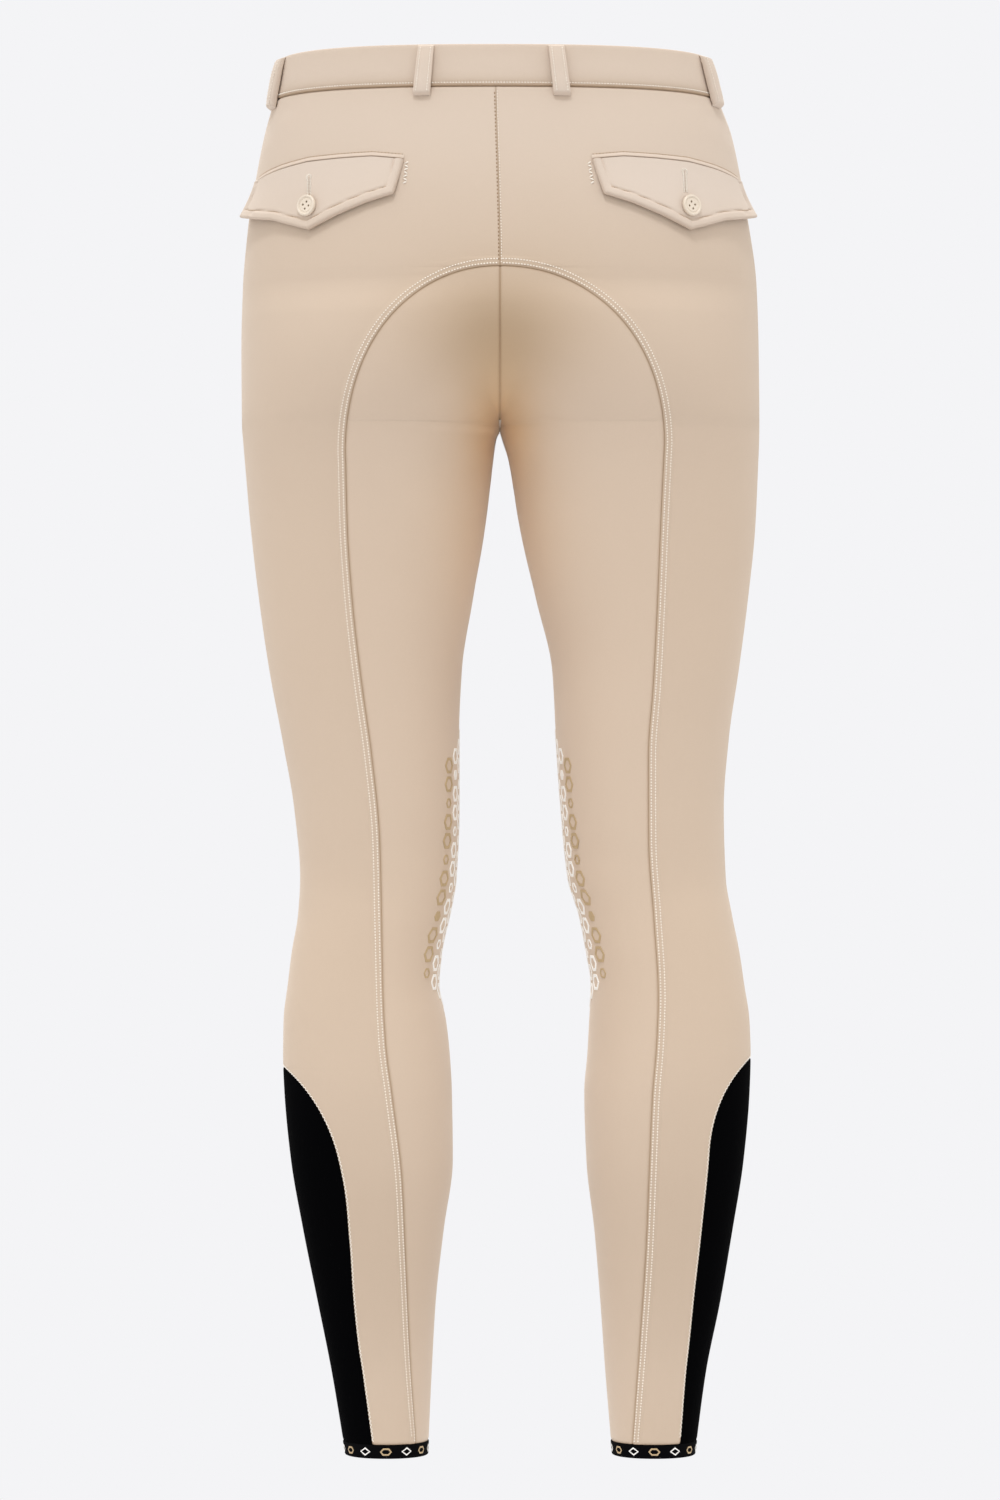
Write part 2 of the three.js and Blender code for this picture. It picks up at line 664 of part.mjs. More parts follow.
add('waistband', waistbandWall(), materials.cloth);
add('fly_lap', flyLap(), materials.cloth);
for (const side of ['left', 'right']) {
  add(`front_${side}`, frontPanel(side), materials.cloth);
  add(`back_${side}`, backPanel(side), materials.cloth);
  add(`seat_${side}`, seatPanel(side), materials.seatCloth);
  add(`ankle_${side}`, anklePanel(side), materials.stretch);
  add(`hem_${side}`, hemBand(side), materials.band);
  add(`flap_${side}`, pocketFlap(side), materials.cloth);
  add(`welt_${side}`, pocketWelt(side), materials.cloth);
  placeButton(add(`button_${side}`, buttonGeometry(), materials.button), side);
  for (const [place, centre] of Object.entries(loopPlaces)) {
    add(`loop_${place}_${side}`, beltLoop(side, centre[side]), materials.cloth);
  }
}

export default breeches;
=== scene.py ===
# Full-seat riding breeches, filled out as if worn and seen from behind.
# Sizes are in millimetres; meshes are made in metres.
import math
import bmesh
import bpy
import numpy as np
from mathutils import Matrix, Vector


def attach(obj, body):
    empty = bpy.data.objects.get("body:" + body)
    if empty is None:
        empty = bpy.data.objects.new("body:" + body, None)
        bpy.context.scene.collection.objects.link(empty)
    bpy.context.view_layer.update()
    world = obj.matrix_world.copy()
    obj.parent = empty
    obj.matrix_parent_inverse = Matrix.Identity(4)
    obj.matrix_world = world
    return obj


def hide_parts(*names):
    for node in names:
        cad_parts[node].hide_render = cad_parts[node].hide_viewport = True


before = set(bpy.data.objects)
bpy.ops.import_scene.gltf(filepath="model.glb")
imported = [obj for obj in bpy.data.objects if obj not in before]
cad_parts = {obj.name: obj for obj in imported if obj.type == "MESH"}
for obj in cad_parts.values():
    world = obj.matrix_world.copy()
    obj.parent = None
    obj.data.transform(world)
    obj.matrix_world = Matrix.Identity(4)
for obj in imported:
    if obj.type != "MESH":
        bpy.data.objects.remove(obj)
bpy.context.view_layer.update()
mm = 0.001
sides = ("left", "right")
sign = {"left": 1, "right": -1}
print("frame loaded")

garment = {"length": 1000, "crotchZ": -266, "cloth": 1.4, "seamGap": 0.3, "shownGap": 0.01, "centreCut": 0.0}
waistband = {"height": 30, "thickness": 2.2, "lap": 42, "lapRamp": 16}
hem = {"height": 10}
halfGap = garment["seamGap"] / 2
shownHalf = garment["shownGap"] / 2
crotchZ = garment["crotchZ"]
seamZ = -waistband["height"]
hemZ = hem["height"] - garment["length"]


def table(names, rows):
    return dict(zip(names.split(), np.array(rows, float).T))


# The same tables as the part's source: a row for each section or seam height
bodyTable = table("z back front side lean across squareness", [
    (0, 98, -118, 32, 3.5, 1, 2.2), (-30, 104, -119, 27, 3, 1, 2.2), (-60, 113, -119, 20, 2.2, 1, 2.2),
    (-100, 125, -119, 12, 1, 1, 2.2), (-150, 135, -117, 8, 0, 1, 2.2), (-165, 137, -116, 7, 0, 1, 2.2),
    (-190, 138, -114, 6, 0, 0.52, 2.2), (-215, 135.5, -112, 6, 0, 0.25, 2.2),
    (-240, 129, -108, 5, 0, 0.1, 2.2), (-266, 118, -102, 5, 0, 0, 2.2), (-300, 107, -99, 3, 0, 0, 2.15),
    (-350, 94.5, -95, 0, 0, 0, 2.1), (-400, 83, -91, -3, 0, 0, 2.1), (-450, 73, -86, -5, 0, 0, 2.1),
    (-500, 66, -80, -6, 0, 0, 2.1), (-550, 61, -73, -6, 0, 0, 2.1), (-590, 58, -66, -4, 0, 0, 2.1),
    (-640, 62, -58, 3, 0, 0, 2.1), (-690, 68, -52, 8, 0, 0, 2.1), (-740, 72, -47, 12, 0, 0, 2.1),
    (-790, 70, -43, 13, 0, 0, 2.1), (-840, 63, -39, 12, 0, 0, 2.1), (-890, 54, -36, 9, 0, 0, 2.1),
    (-940, 46, -34, 6, 0, 0, 2.1), (-1000, 42, -33, 5, 0, 0, 2.1)])
outlineTable = table("z leftOuter leftInner rightOuter rightInner", [
    (0, 152.5, 0, 152.5, 0), (-30, 157.5, 0, 158, 0), (-58, 165.8, 0, 167.5, 0), (-80, 171.2, 0, 171.9, 0),
    (-122, 179.6, 0, 178.4, 0), (-165, 183.9, 0, 183.6, 0), (-208, 185, 0, 185, 0),
    (-266, 184.6, halfGap, 185.6, halfGap), (-273, 184, 3, 185.5, 1.8), (-288, 182.8, 4.7, 185, 5.9),
    (-338, 178.5, 10.8, 182.8, 14.3),
    (-388, 172.8, 19.4, 177.8, 25.8), (-438, 165.6, 27.2, 171.4, 37.3), (-488, 156.3, 29.4, 164.2, 40.2),
    (-538, 147.7, 29.4, 160.6, 43.7), (-588, 143.4, 31.5, 162, 48.8), (-614, 144.8, 35.9, 166.3, 56.6),
    (-640, 149.1, 41.6, 171.4, 61.7), (-664, 152, 43.7, 174.9, 65.2), (-689, 154.9, 38.7, 178.5, 63.8),
    (-714, 155.2, 35.9, 179.3, 62.4), (-740, 154.2, 34.4, 178.5, 60.2), (-789, 149.5, 33.7, 174.2, 61.7),
    (-839, 140.8, 40.2, 166.3, 67.4), (-890, 130.6, 45.9, 157.7, 71.7), (-940, 120.7, 48.8, 147.7, 75.3),
    (-1000, 110.7, 51.6, 139.6, 80.3)])
waistDrop = {"topSide": 6, "topFront": 22, "seamSide": 5, "seamFront": 24, "fadesAt": -150, "late": 4}
seatArch = {
    "left": {"top": -158.5, "spring": -290, "width": 108.6, "power": 2.1},
    "right": {"top": -158.5, "spring": -284, "width": 115.5, "power": 2.1}}
seatSeamTable = table("z left right", [
    (-280, 108.6, 115.5), (-340, 107.4, 113), (-395, 103.8, 111), (-450, 97.6, 108.4), (-500, 90.8, 105.1),
    (-560, 85.2, 105.4), (-615, 83.9, 109), (-670, 82.7, 112), (-705, 80.7, 110.7), (-740, 76.2, 107.8),
    (-800, 69.2, 105.3), (-850, 67, 103.4), (-925, 63.9, 98.6), (-1000, 59.2, 93.4)])
frontSeamTable = table("z share", [
    (crotchZ, 1), (-330, 0.93), (-430, 0.88), (-600, 0.85), (-800, 0.86), (-1000, 0.88)])
ankleArch = {
    "left": {"top": -722, "spring": -800, "width": 68.9, "power": 2.35},
    "right": {"top": -715.5, "spring": -775, "width": 59.5, "power": 2.3}}
ankleEdgeTable = table("z left right", [
    (-775, 68.9, 59.5), (-800, 68.9, 57.6), (-843, 62.8, 51.9), (-888, 53.8, 46.2), (-930, 47.7, 39.2),
    (-970, 45.6, 35.4), (-1000, 44.5, 33.6)])
flapTable = table("step topAlong topZ lowAlong lowZ", [
    (0, 66, -83.2, 73.5, -107.8), (1, 89, -80.8, 94, -113.7), (2, 113, -81.5, 115, -121.4),
    (3, 139, -82.8, 138.8, -131.3), (4, 165, -86.6, 172, -123), (5, 204, -93.4, 224, -117.5)])
loopForm = table("along inside out", [
    (0, 0.3, 2.6), (0.04, 0.3, 4), (0.13, 0.3, 4.8), (0.17, 2.6, 5.1), (0.3, 3.8, 5.8), (0.5, 4.2, 6.2),
    (0.7, 4.1, 6.2), (0.8, 3.2, 6), (0.84, 0.3, 5.8), (0.95, 0.3, 5), (1, 0.3, 3)])


def smooth(t):
    return t * t * (3 - 2 * t)


def clamp01(t):
    return np.clip(t, 0, 1)


def mix(a, b, t):
    return a + (b - a) * t


def unit(vectors):
    return vectors / np.linalg.norm(vectors, axis=-1, keepdims=True)


# Smooth curve through one column of a table, without overshoot
def curveThrough(rows, name, key="z"):
    order = np.argsort(rows[key])
    at, value = rows[key][order], rows[name][order]
    slope = np.diff(value) / np.diff(at)
    product, total = slope[:-1] * slope[1:], slope[:-1] + slope[1:]
    middle = np.where(product > 0, 2 * product / np.where(product > 0, total, 1), 0)
    tangent = np.concatenate([slope[:1], middle, slope[-1:]])

    def curve(x):
        x = np.clip(x, at[0], at[-1])
        i = np.clip(np.searchsorted(at, x, side="right") - 1, 0, len(at) - 2)
        step = at[i + 1] - at[i]
        t = (x - at[i]) / step
        fromEnd = smooth(t)
        pull = step * t * (1 - t)
        return mix(value[i], value[i + 1], fromEnd) + pull * ((1 - t) * tangent[i] - t * tangent[i + 1])
    return curve


# The same curve with the changes of its bend spread out, so that no level line shows in the cloth
def softened(curve, reach):
    return lambda z: 0.25 * curve(z - reach) + 0.5 * curve(z) + 0.25 * curve(z + reach)


body = {name: curveThrough(bodyTable, name) for name in bodyTable if name != "z"}
for name in ("back", "front", "side"):
    body[name] = softened(body[name], 9)

# The halves part more evenly at the crotch than a level start would give
upper = bodyTable["z"] >= crotchZ
steady = curveThrough({"z": bodyTable["z"][upper], "across": bodyTable["across"][upper]}, "across")
level = body["across"]
body["across"] = lambda z: (steady(z) + level(z)) / 2
outline = {side: {edge.lower(): curveThrough(outlineTable, side + edge) for edge in ("Outer", "Inner")}
           for side in sides}
seatLine = {side: curveThrough(seatSeamTable, side) for side in sides}
ankleLine = {side: curveThrough(ankleEdgeTable, side) for side in sides}
frontSeam = curveThrough(frontSeamTable, "share")
valley = {"radius": 22, "growsOver": 45}


def ellipseAt(side, z):
    outer = outline[side]["outer"](z)
    inner = np.where(z > crotchZ, -body["across"](z) * outer, outline[side]["inner"](z))
    return (outer + inner) / 2, (outer - inner) / 2, inner, body["squareness"](z)


# Point at an angle round the section: 0 is the side, pi the inner leg, negative the front
def sectionPoint(side, angle, z):
    angle, z = np.broadcast_arrays(np.asarray(angle, float), np.asarray(z, float))
    centre, halfWidth, _, squareness = ellipseAt(side, z)
    sideLine = body["side"](z)
    depth = np.where(angle >= 0, body["back"](z), body["front"](z)) - sideLine
    cos, sin = np.cos(angle), np.sin(angle)
    x = centre + halfWidth * np.sign(cos) * np.abs(cos) ** (2 / squareness)

    def depthAt(u):
        return depth * np.maximum(0, 1 - np.abs(u) ** squareness) ** (1 / squareness)

    y = depth * np.abs(sin) ** (2 / squareness)
    radius = valley["radius"] * smooth(clamp01((z - crotchZ) / valley["growsOver"]))
    r = np.where(radius > 0, radius, 1)
    edge, step = (r - centre) / halfWidth, 0.02
    rise = (depthAt(edge + step) - depthAt(edge - step)) / (2 * step * halfWidth)
    y = np.where((radius > 0) & (x < radius), depthAt(edge) + rise * (x * x - r * r) / (2 * r), y)
    return np.stack([sign[side] * x + body["lean"](z), sideLine + y, z], -1)


def cutAngleAt(side, z):
    centre, halfWidth, inner, squareness = ellipseAt(side, z)
    cut = np.clip((garment["centreCut"] - centre) / halfWidth, -1, 1)
    return np.where(inner < halfGap, np.arccos(np.sign(cut) * np.abs(cut) ** (squareness / 2)), np.pi)


# Lengths of cloth round every level, for each half, and the way back from length to angle
levels = np.arange(2.0, -1003.0, -1.0)
sectionSteps, inverseSteps = 60, 240


def measureRound(side):
    parts = np.linspace(0, 1, sectionSteps + 1)
    even = np.linspace(0, 1, inverseSteps + 1)
    cut = cutAngleAt(side, levels)[:, None]
    found = {}
    for half, way in (("back", 1), ("front", -1)):
        points = sectionPoint(side, way * cut * parts, levels[:, None])
        steps = np.linalg.norm(np.diff(points, axis=1), axis=-1)
        lengths = np.hstack([np.zeros((len(levels), 1)), np.cumsum(steps, axis=1)])
        total = lengths[:, -1]
        share = lengths / total[:, None]
        back = np.array([np.interp(even, row, parts) for row in share])
        found[half] = {"total": total, "share": share, "part": back}
    return found


rounds = {side: measureRound(side) for side in sides}


def between(grid, z, across):
    row = np.clip(levels[0] - z, 0, len(levels) - 1.001)
    column = clamp01(across) * (grid.shape[1] - 1)
    i, j = np.floor(row).astype(int), np.minimum(np.floor(column).astype(int), grid.shape[1] - 2)
    s, t = row - i, column - j
    return mix(mix(grid[i, j], grid[i, j + 1], t), mix(grid[i + 1, j], grid[i + 1, j + 1], t), s)


def totalAt(side, z, half):
    return np.interp(-np.asarray(z, float), -levels, rounds[side][half]["total"])


def angleAt(side, share, z):
    wrapped = np.where(share < 0, share + 1, share)
    facesBack = wrapped < 0.5
    fromSide = np.abs(0.5 - wrapped) * 2
    part = np.where(facesBack, between(rounds[side]["back"]["part"], z, fromSide),
                    between(rounds[side]["front"]["part"], z, fromSide))
    return np.where(facesBack, 1, -1) * part * cutAngleAt(side, z)


# Points on the cloth's outer face and the way out from them
def clothPoint(side, share, z, out=0.0):
    share, z, out = np.broadcast_arrays(*(np.asarray(v, float) for v in (share, z, out)))
    angle = angleAt(side, share, z)
    turn, rise = 0.01, 0.5
    around = sectionPoint(side, angle + turn, z) - sectionPoint(side, angle - turn, z)
    up = sectionPoint(side, angle, z + rise) - sectionPoint(side, angle, z - rise)
    normal = unit(np.cross(around, up)) * sign[side]
    return sectionPoint(side, angle, z) + normal * out[..., None], normal


def shareOfWidth(side, width, z):
    centre, halfWidth, _, squareness = ellipseAt(side, z)
    u = np.clip((np.maximum(width, garment["centreCut"]) - centre) / halfWidth, -1, 1)
    angle = np.arccos(np.sign(u) * np.abs(u) ** (squareness / 2))
    return 0.5 * (1 - between(rounds[side]["back"]["share"], z, angle / cutAngleAt(side, z)))


def shareOfLength(side, distance, z, half):
    return 0.5 * distance / totalAt(side, z, half)


# Length of cloth from the centre back or inner leg, less than nothing towards the front
def alongAt(side, share, z):
    back, front = totalAt(side, z, "back"), totalAt(side, z, "front")
    return np.where(share < 0, share * 2 * front,
                    np.where(share <= 0.5, share * 2 * back, back + (share - 0.5) * 2 * front))


def shareAt(side, along, z):
    back, front = totalAt(side, z, "back"), totalAt(side, z, "front")
    return np.where(along < 0, along / (2 * front),
                    np.where(along <= back, along / (2 * back), 0.5 + (along - back) / (2 * front)))


def archWidth(arch, below, z):
    rise = clamp01((z - arch["spring"]) / (arch["top"] - arch["spring"]))
    width = arch["width"] * (1 - rise ** arch["power"]) ** (1 / arch["power"])
    return np.where(z >= arch["top"], 0, np.where(z <= arch["spring"], below(z), width))


def seatShare(side, z, at):
    return shareOfWidth(side, archWidth(seatArch[side], seatLine[side], at), z)


def ankleShare(side, z, at, half):
    return shareOfLength(side, archWidth(ankleArch[side], ankleLine[side], at), z, half)


# Height of a row on the cloth: level at the hips, and curved with the waist above them
def rowZ(height, share):
    toSide, toFront = clamp01(share * 2) ** waistDrop["late"], smooth(clamp01(share * 2 - 1))
    seamDrop = mix(waistDrop["seamSide"] * toSide, waistDrop["seamFront"], toFront)
    topDrop = mix(waistDrop["topSide"] * toSide, waistDrop["topFront"], toFront)
    fade = 1 - smooth(clamp01((height - seamZ) / (waistDrop["fadesAt"] - seamZ)))
    return np.where(height > seamZ, height - mix(topDrop, seamDrop, clamp01(height / seamZ)),
                    height - seamDrop * fade)


# Seams as lines of shares and heights, and as points on the cloth
def seamOf(side, share, z):
    share, z = np.broadcast_arrays(np.asarray(share, float), np.asarray(z, float))
    return {"share": share, "z": z, "points": clothPoint(side, share, z)[0]}


def archHeights(top, low, depth=34, count=26, power=2.6, step=4):
    near = top - depth * (np.arange(count) / count) ** power
    return np.concatenate([near, np.arange(top - depth, low, -step), [low]])


def seamsOf(side):
    waistDown = np.arange(seamZ, crotchZ, -4.0)
    seatRows = archHeights(seatArch[side]["top"], hemZ)
    ankleRows = archHeights(ankleArch[side]["top"], hemZ)
    crotchRows = crotchZ - 12 * np.linspace(0, 1, 8) ** 2
    legRows = np.concatenate([crotchRows, np.arange(crotchZ - 16, hemZ, -4), [hemZ]])
    sideRows = np.append(np.arange(seamZ, ankleArch[side]["top"], -4.0), ankleArch[side]["top"])
    shares = np.linspace(0, 1, 160)
    return {
        "centreBack": seamOf(side, 0.0, np.append(waistDown, crotchZ)),
        "centreFront": seamOf(side, 1.0, rowZ(np.append(waistDown, crotchZ), 1.0)),
        "seat": seamOf(side, seatShare(side, seatRows, seatRows), seatRows),
        "side": seamOf(side, 0.5, rowZ(sideRows, 0.5)),
        "ankleBack": seamOf(side, 0.5 - ankleShare(side, ankleRows, ankleRows, "back"), ankleRows),
        "ankleFront": seamOf(side, 0.5 + ankleShare(side, ankleRows, ankleRows, "front"), ankleRows),
        "inner": seamOf(side, frontSeam(legRows) - 1, legRows),
        "waist": seamOf(side, shares, rowZ(seamZ, shares)),
        "hem": seamOf(side, shares, hemZ),
    }


seams = {side: seamsOf(side) for side in sides}
print("cloth surface measured")


# Distance from points to a line, and how far along the line that is, from 0 to 1
def distanceTo(line, points):
    flat = points.reshape(-1, 3)
    squared = (flat ** 2).sum(1)[:, None] + (line ** 2).sum(1)[None] - 2 * flat @ line.T
    near = squared.argmin(1)
    best, place = np.full(len(flat), np.inf), np.zeros(len(flat))
    for step in (-1, 0):
        i = np.clip(near + step, 0, len(line) - 2)
        start, run = line[i], line[i + 1] - line[i]
        t = clamp01(((flat - start) * run).sum(1) / np.maximum((run * run).sum(1), 1e-12))
        away = np.linalg.norm(flat - start - run * t[:, None], axis=1)
        place = np.where(away < best, (i + t) / (len(line) - 1), place)
        best = np.minimum(best, away)
    return best.reshape(points.shape[:-1]), place.reshape(points.shape[:-1])


# How each seam shapes the cloth beside it: how far the edge turns under and over what distance,
# then a sewn band that stands proud, from one distance to another
seamShapes = {
    "front": table("drop over bandFrom bandTo proud", [
        (0.8, 1.5, 0, 0, 0), (0.8, 1.5, 0, 0, 0), (0.6, 1.2, 0, 0, 0), (0.7, 1.2, 0.6, 5.6, 0.3),
        (0.9, 1.8, 0, 0, 0), (0.6, 1.2, 0, 0, 0)]),
    "back": table("drop over bandFrom bandTo proud", [
        (0.3, 0.6, 0, 0, 0), (0.8, 1.5, 0, 0, 0), (0.6, 1.2, 0, 0, 0), (0.4, 0.7, 0.3, 6.2, 0.5),
        (1.3, 1.0, 0, 0, 0), (0.6, 1.2, 0, 0, 0)]),
    "seat": table("drop over bandFrom bandTo proud", [
        (0.9, 0.9, 0, 0, 0), (0.7, 1.0, 0, 0, 0), (0.6, 1.0, 0, 0, 0), (0.6, 1.2, 0, 0, 0)]),
    "ankle": table("drop over bandFrom bandTo proud", [
        (0.7, 1.2, 0, 0, 0), (0.7, 1.2, 0, 0, 0), (0.5, 1.1, 0, 0, 0)]),
}
seamNames = {
    "front": ("centreFront", "side", "ankleFront", "inner", "waist", "hem"),
    "back": ("centreBack", "side", "ankleBack", "seat", "waist", "hem"),
    "seat": ("centreBack", "seat", "inner", "hem"),
    "ankle": ("ankleBack", "ankleFront", "hem"),
}

# How far the painted shade beside a seam reaches on each kind of panel
seamShadeReach = {"front": 1.6, "back": 1.1, "seat": 1.7, "ankle": 1.5}

# Soft creases: from one share and height to another, how far they bow, their width and depth.
# The last ones are on the front, which the photograph doesn't show.
creaseNames = "side share z endShare endZ bow width depth"
creases = table(creaseNames, [
    (1, 0.395, -36, 0.47, -70, 3, 2.6, -1.5), (1, 0.38, -38, 0.455, -76, 3, 3.6, 0.8),
    (1, 0.43, -36, 0.485, -60, 2, 2.2, -0.9), (-1, 0.38, -36, 0.46, -66, 3, 2.6, -1.4),
    (-1, 0.365, -38, 0.445, -73, 3, 3.6, 0.8), (-1, 0.415, -37, 0.475, -60, 2, 2.2, -0.9),
    (1, 0.04, -286, 0.2, -318, -5, 11, -0.5), (-1, 0.05, -290, 0.18, -330, -6, 12, -0.5),
    (1, 0.08, -556, 0.3, -566, 5, 12, -0.5), (1, 0.16, -596, 0.4, -586, 6, 14, -0.6),
    (-1, 0.06, -562, 0.26, -572, 5, 11, -0.5), (-1, 0.14, -604, 0.36, -592, 7, 15, -0.6),
    (1, 0.2, -930, 0.34, -936, 3, 9, -0.4), (-1, 0.16, -922, 0.3, -930, 3, 8, -0.4),
    (1, 0.985, -250, 0.82, -214, 6, 8, -1.3), (-1, 0.985, -246, 0.84, -206, 7, 9, -1.5),
    (1, 0.985, -262, 0.78, -250, 5, 10, -1.1), (-1, 0.98, -264, 0.8, -256, 6, 9, -1.2),
    (1, 0.94, -292, 0.72, -300, 5, 12, -0.8), (-1, 0.94, -298, 0.75, -310, 4, 11, -0.8),
    (1, 0.62, -548, 0.82, -560, 6, 12, -0.9), (-1, 0.6, -552, 0.8, -562, 6, 13, -0.8),
    (1, 0.66, -640, 0.84, -628, 5, 11, -0.8), (-1, 0.64, -648, 0.82, -634, 5, 12, -0.9),
    (1, 0.7, -950, 0.86, -944, 3, 8, -0.6), (-1, 0.68, -944, 0.84, -938, 3, 8, -0.6)])


def creaseLine(row):
    side = "left" if creases["side"][row] > 0 else "right"
    t = np.linspace(0, 1, 24)
    share = mix(creases["share"][row], creases["endShare"][row], t)
    z = mix(creases["z"][row], creases["endZ"][row], t) - creases["bow"][row] * np.sin(np.pi * t)
    return side, clothPoint(side, share, z)[0]


creaseLines = [creaseLine(row) for row in range(len(creases["z"]))]


# How far the cloth stands out of its solid's face at points of a panel, and how near a seam is, for the
# painted shade beside it
def clothRelief(kind, side, base):
    lift, near = np.zeros(base.shape[:-1]), np.zeros(base.shape[:-1])
    shape = seamShapes[kind]
    for row, name in enumerate(seamNames[kind]):
        away, _ = distanceTo(seams[side][name]["points"], base)
        lift -= shape["drop"][row] * np.exp(-(away / shape["over"][row]) ** 2)
        if shape["proud"][row]:
            rises = smooth(clamp01((away - shape["bandFrom"][row]) / 0.9))
            falls = 1 - smooth(clamp01((away - shape["bandTo"][row] + 0.4) / 1.1))
            lift += shape["proud"][row] * rises * falls
        near = np.maximum(near, np.exp(-away / seamShadeReach[kind]))
    for row, (owner, line) in enumerate(creaseLines):
        if owner == side and kind != "ankle":
            away, place = distanceTo(line, base)
            ends = np.sin(np.pi * clamp01(place)) ** 0.8
            lift += creases["depth"][row] * ends * np.exp(-(away / creases["width"][row]) ** 2)
    return lift, near


# Painted shade and painted light in the cloth's colour: each row is a soft patch about a place seen from
# behind that makes the cloth paler or deeper, and warmer or cooler; the ones with a wide reach go round the
# whole garment. The narrow ones paint shade, deeper and warmer, at the seat's centre and the crotch, a warm
# glow of reflected light between the thighs, and a paler tone round the flaps. The wide ones paint the waist
# paler, where light falls from above, and make the cloth a little deeper over the calves and at the hems.
shadeAndLightPatches = table("x z reachX reachZ light warm", [
    (0, -200, 60, 42, -0.2, 0.56), (0, -244, 30, 42, -0.1, 0.46), (0, -276, 20, 32, 0.1, 0.9),
    (0, -330, 44, 62, 0.0, 0.3), (0, -176, 900, 52, -0.01, -0.02), (0, -52, 900, 60, 0.045, -0.24),
    (0, -372, 30, 74, 0.22, 0.2), (0, -400, 900, 120, 0.02, 0.06), (0, -640, 900, 110, -0.02, 0.1),
    (0, -850, 900, 100, -0.095, 0.12), (0, -1010, 900, 60, -0.05, 0.1), (-130, -104, 60, 26, 0.05, -0.14),
    (130, -104, 60, 26, 0.015, -0.05)])
paleTint = {"light": 0.05, "warm": -0.2}
warmTone = np.array([0.0, 0.14, 0.36])


# Colour factor at each point: the painted shade and light of the patches above, and a paler, cooler tint on
# flaps, loops, welts and waistband
def tintAndShadeAt(points, pale):
    light = np.full(points.shape[:-1], paleTint["light"] * pale)
    warm = np.full(points.shape[:-1], paleTint["warm"] * pale)
    behind = smooth(clamp01(points[..., 1] / 60 + 0.5))
    for x, z, reachX, reachZ, patchLight, patchWarm in np.stack(list(shadeAndLightPatches.values()), -1):
        weight = np.exp(-((points[..., 0] - x) / reachX) ** 2 - ((points[..., 2] - z) / reachZ) ** 2)
        weight = weight if reachX > 500 else weight * behind
        light, warm = light + patchLight * weight, warm + patchWarm * weight
    return (1 + light)[..., None] * (1 - warm[..., None] * warmTone)


# Faces between neighbours in a grid of point numbers
def gridFaces(index):
    return np.stack([index[:-1, :-1], index[1:, :-1], index[1:, 1:], index[:-1, 1:]], -1).reshape(-1, 4)


# Faces of a closed wall from a grid of outer points and as many inner ones
def wallFaces(rows, columns, ring=False):
    index = np.arange(rows * columns).reshape(rows, columns)
    if ring:
        index = np.hstack([index, index[:, :1]])
    inner = index + rows * columns
    quads = []
    for g, order in ((index, 1), (inner, -1)):
        quads.append(np.stack([g[:-1, :-1], g[1:, :-1], g[1:, 1:], g[:-1, 1:]][::order], -1).reshape(-1, 4))
    quads.append(np.stack([index[0, :-1], index[0, 1:], inner[0, 1:], inner[0, :-1]], -1))
    quads.append(np.stack([index[-1, :-1], inner[-1, :-1], inner[-1, 1:], index[-1, 1:]], -1))
    if not ring:
        quads.append(np.stack([index[:-1, 0], inner[:-1, 0], inner[1:, 0], index[1:, 0]], -1))
        quads.append(np.stack([index[:-1, -1], index[1:, -1], inner[1:, -1], inner[:-1, -1]], -1))
    return np.concatenate(quads)


# Merges equal corners and drops faces with none left between them
def joinCorners(points, faces, place):
    _, first, back = np.unique(np.round(points / 0.002).astype(np.int64), axis=0,
                               return_index=True, return_inverse=True)
    faces = back.ravel()[faces]
    pinched = (faces == np.roll(faces, 1, axis=1)).any(1)
    kept = faces[~pinched].tolist()
    for face in faces[pinched].tolist():
        corners = list(dict.fromkeys(face))
        if len(corners) > 2:
            kept.append(corners)
    return points[first], kept, place[first]


def makePiece(name, points, faces, place=None, sharpOver=48, join=True, pale=0.0):
    points = np.asarray(points, float).reshape(-1, 3)
    place = points * 1.0 if place is None else np.asarray(place, float).reshape(-1, 3)
    if join:
        points, faces, place = joinCorners(points, np.asarray(faces), place)
    elif not isinstance(faces, list):
        faces = faces.tolist()
    mesh = bpy.data.meshes.new(name)
    mesh.from_pydata((points * mm).tolist(), [], faces)
    spot = mesh.attributes.new("clothPlace", "FLOAT_VECTOR", "POINT")
    spot.data.foreach_set("vector", (place * mm).astype(np.float32).ravel())
    # The painted shade and light, with the pale tint, kept on each point
    tint = mesh.attributes.new("clothTintAndShade", "FLOAT_VECTOR", "POINT")
    tint.data.foreach_set("vector", tintAndShadeAt(points, pale).astype(np.float32).ravel())
    shaped = bmesh.new()
    shaped.from_mesh(mesh)
    if shaped.calc_volume(signed=True) < 0:
        bmesh.ops.reverse_faces(shaped, faces=shaped.faces)
    shaped.to_mesh(mesh)
    shaped.free()
    mesh.shade_smooth()
    mesh.set_sharp_from_angle(angle=math.radians(sharpOver))
    piece = bpy.data.objects.new(name, mesh)
    bpy.context.scene.collection.objects.link(piece)
    return piece


def dress(piece, material, node=None):
    piece.data.materials.append(material)
    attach(piece, "root")
    if node:
        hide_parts(node)


# Shader groups that several finishes share
def newGroup(name, inputs, outputs):
    tree = bpy.data.node_groups.new(name, "ShaderNodeTree")
    for label, kind, start in inputs:
        socket = tree.interface.new_socket(name=label, in_out="INPUT", socket_type=kind)
        socket.default_value = start
    for label, kind in outputs:
        tree.interface.new_socket(name=label, in_out="OUTPUT", socket_type=kind)
    return tree, tree.nodes.new("NodeGroupInput").outputs, tree.nodes.new("NodeGroupOutput").inputs


def joinTo(tree, socket, value):
    if isinstance(value, bpy.types.NodeSocket):
        tree.links.new(value, socket)
    else:
        socket.default_value = value


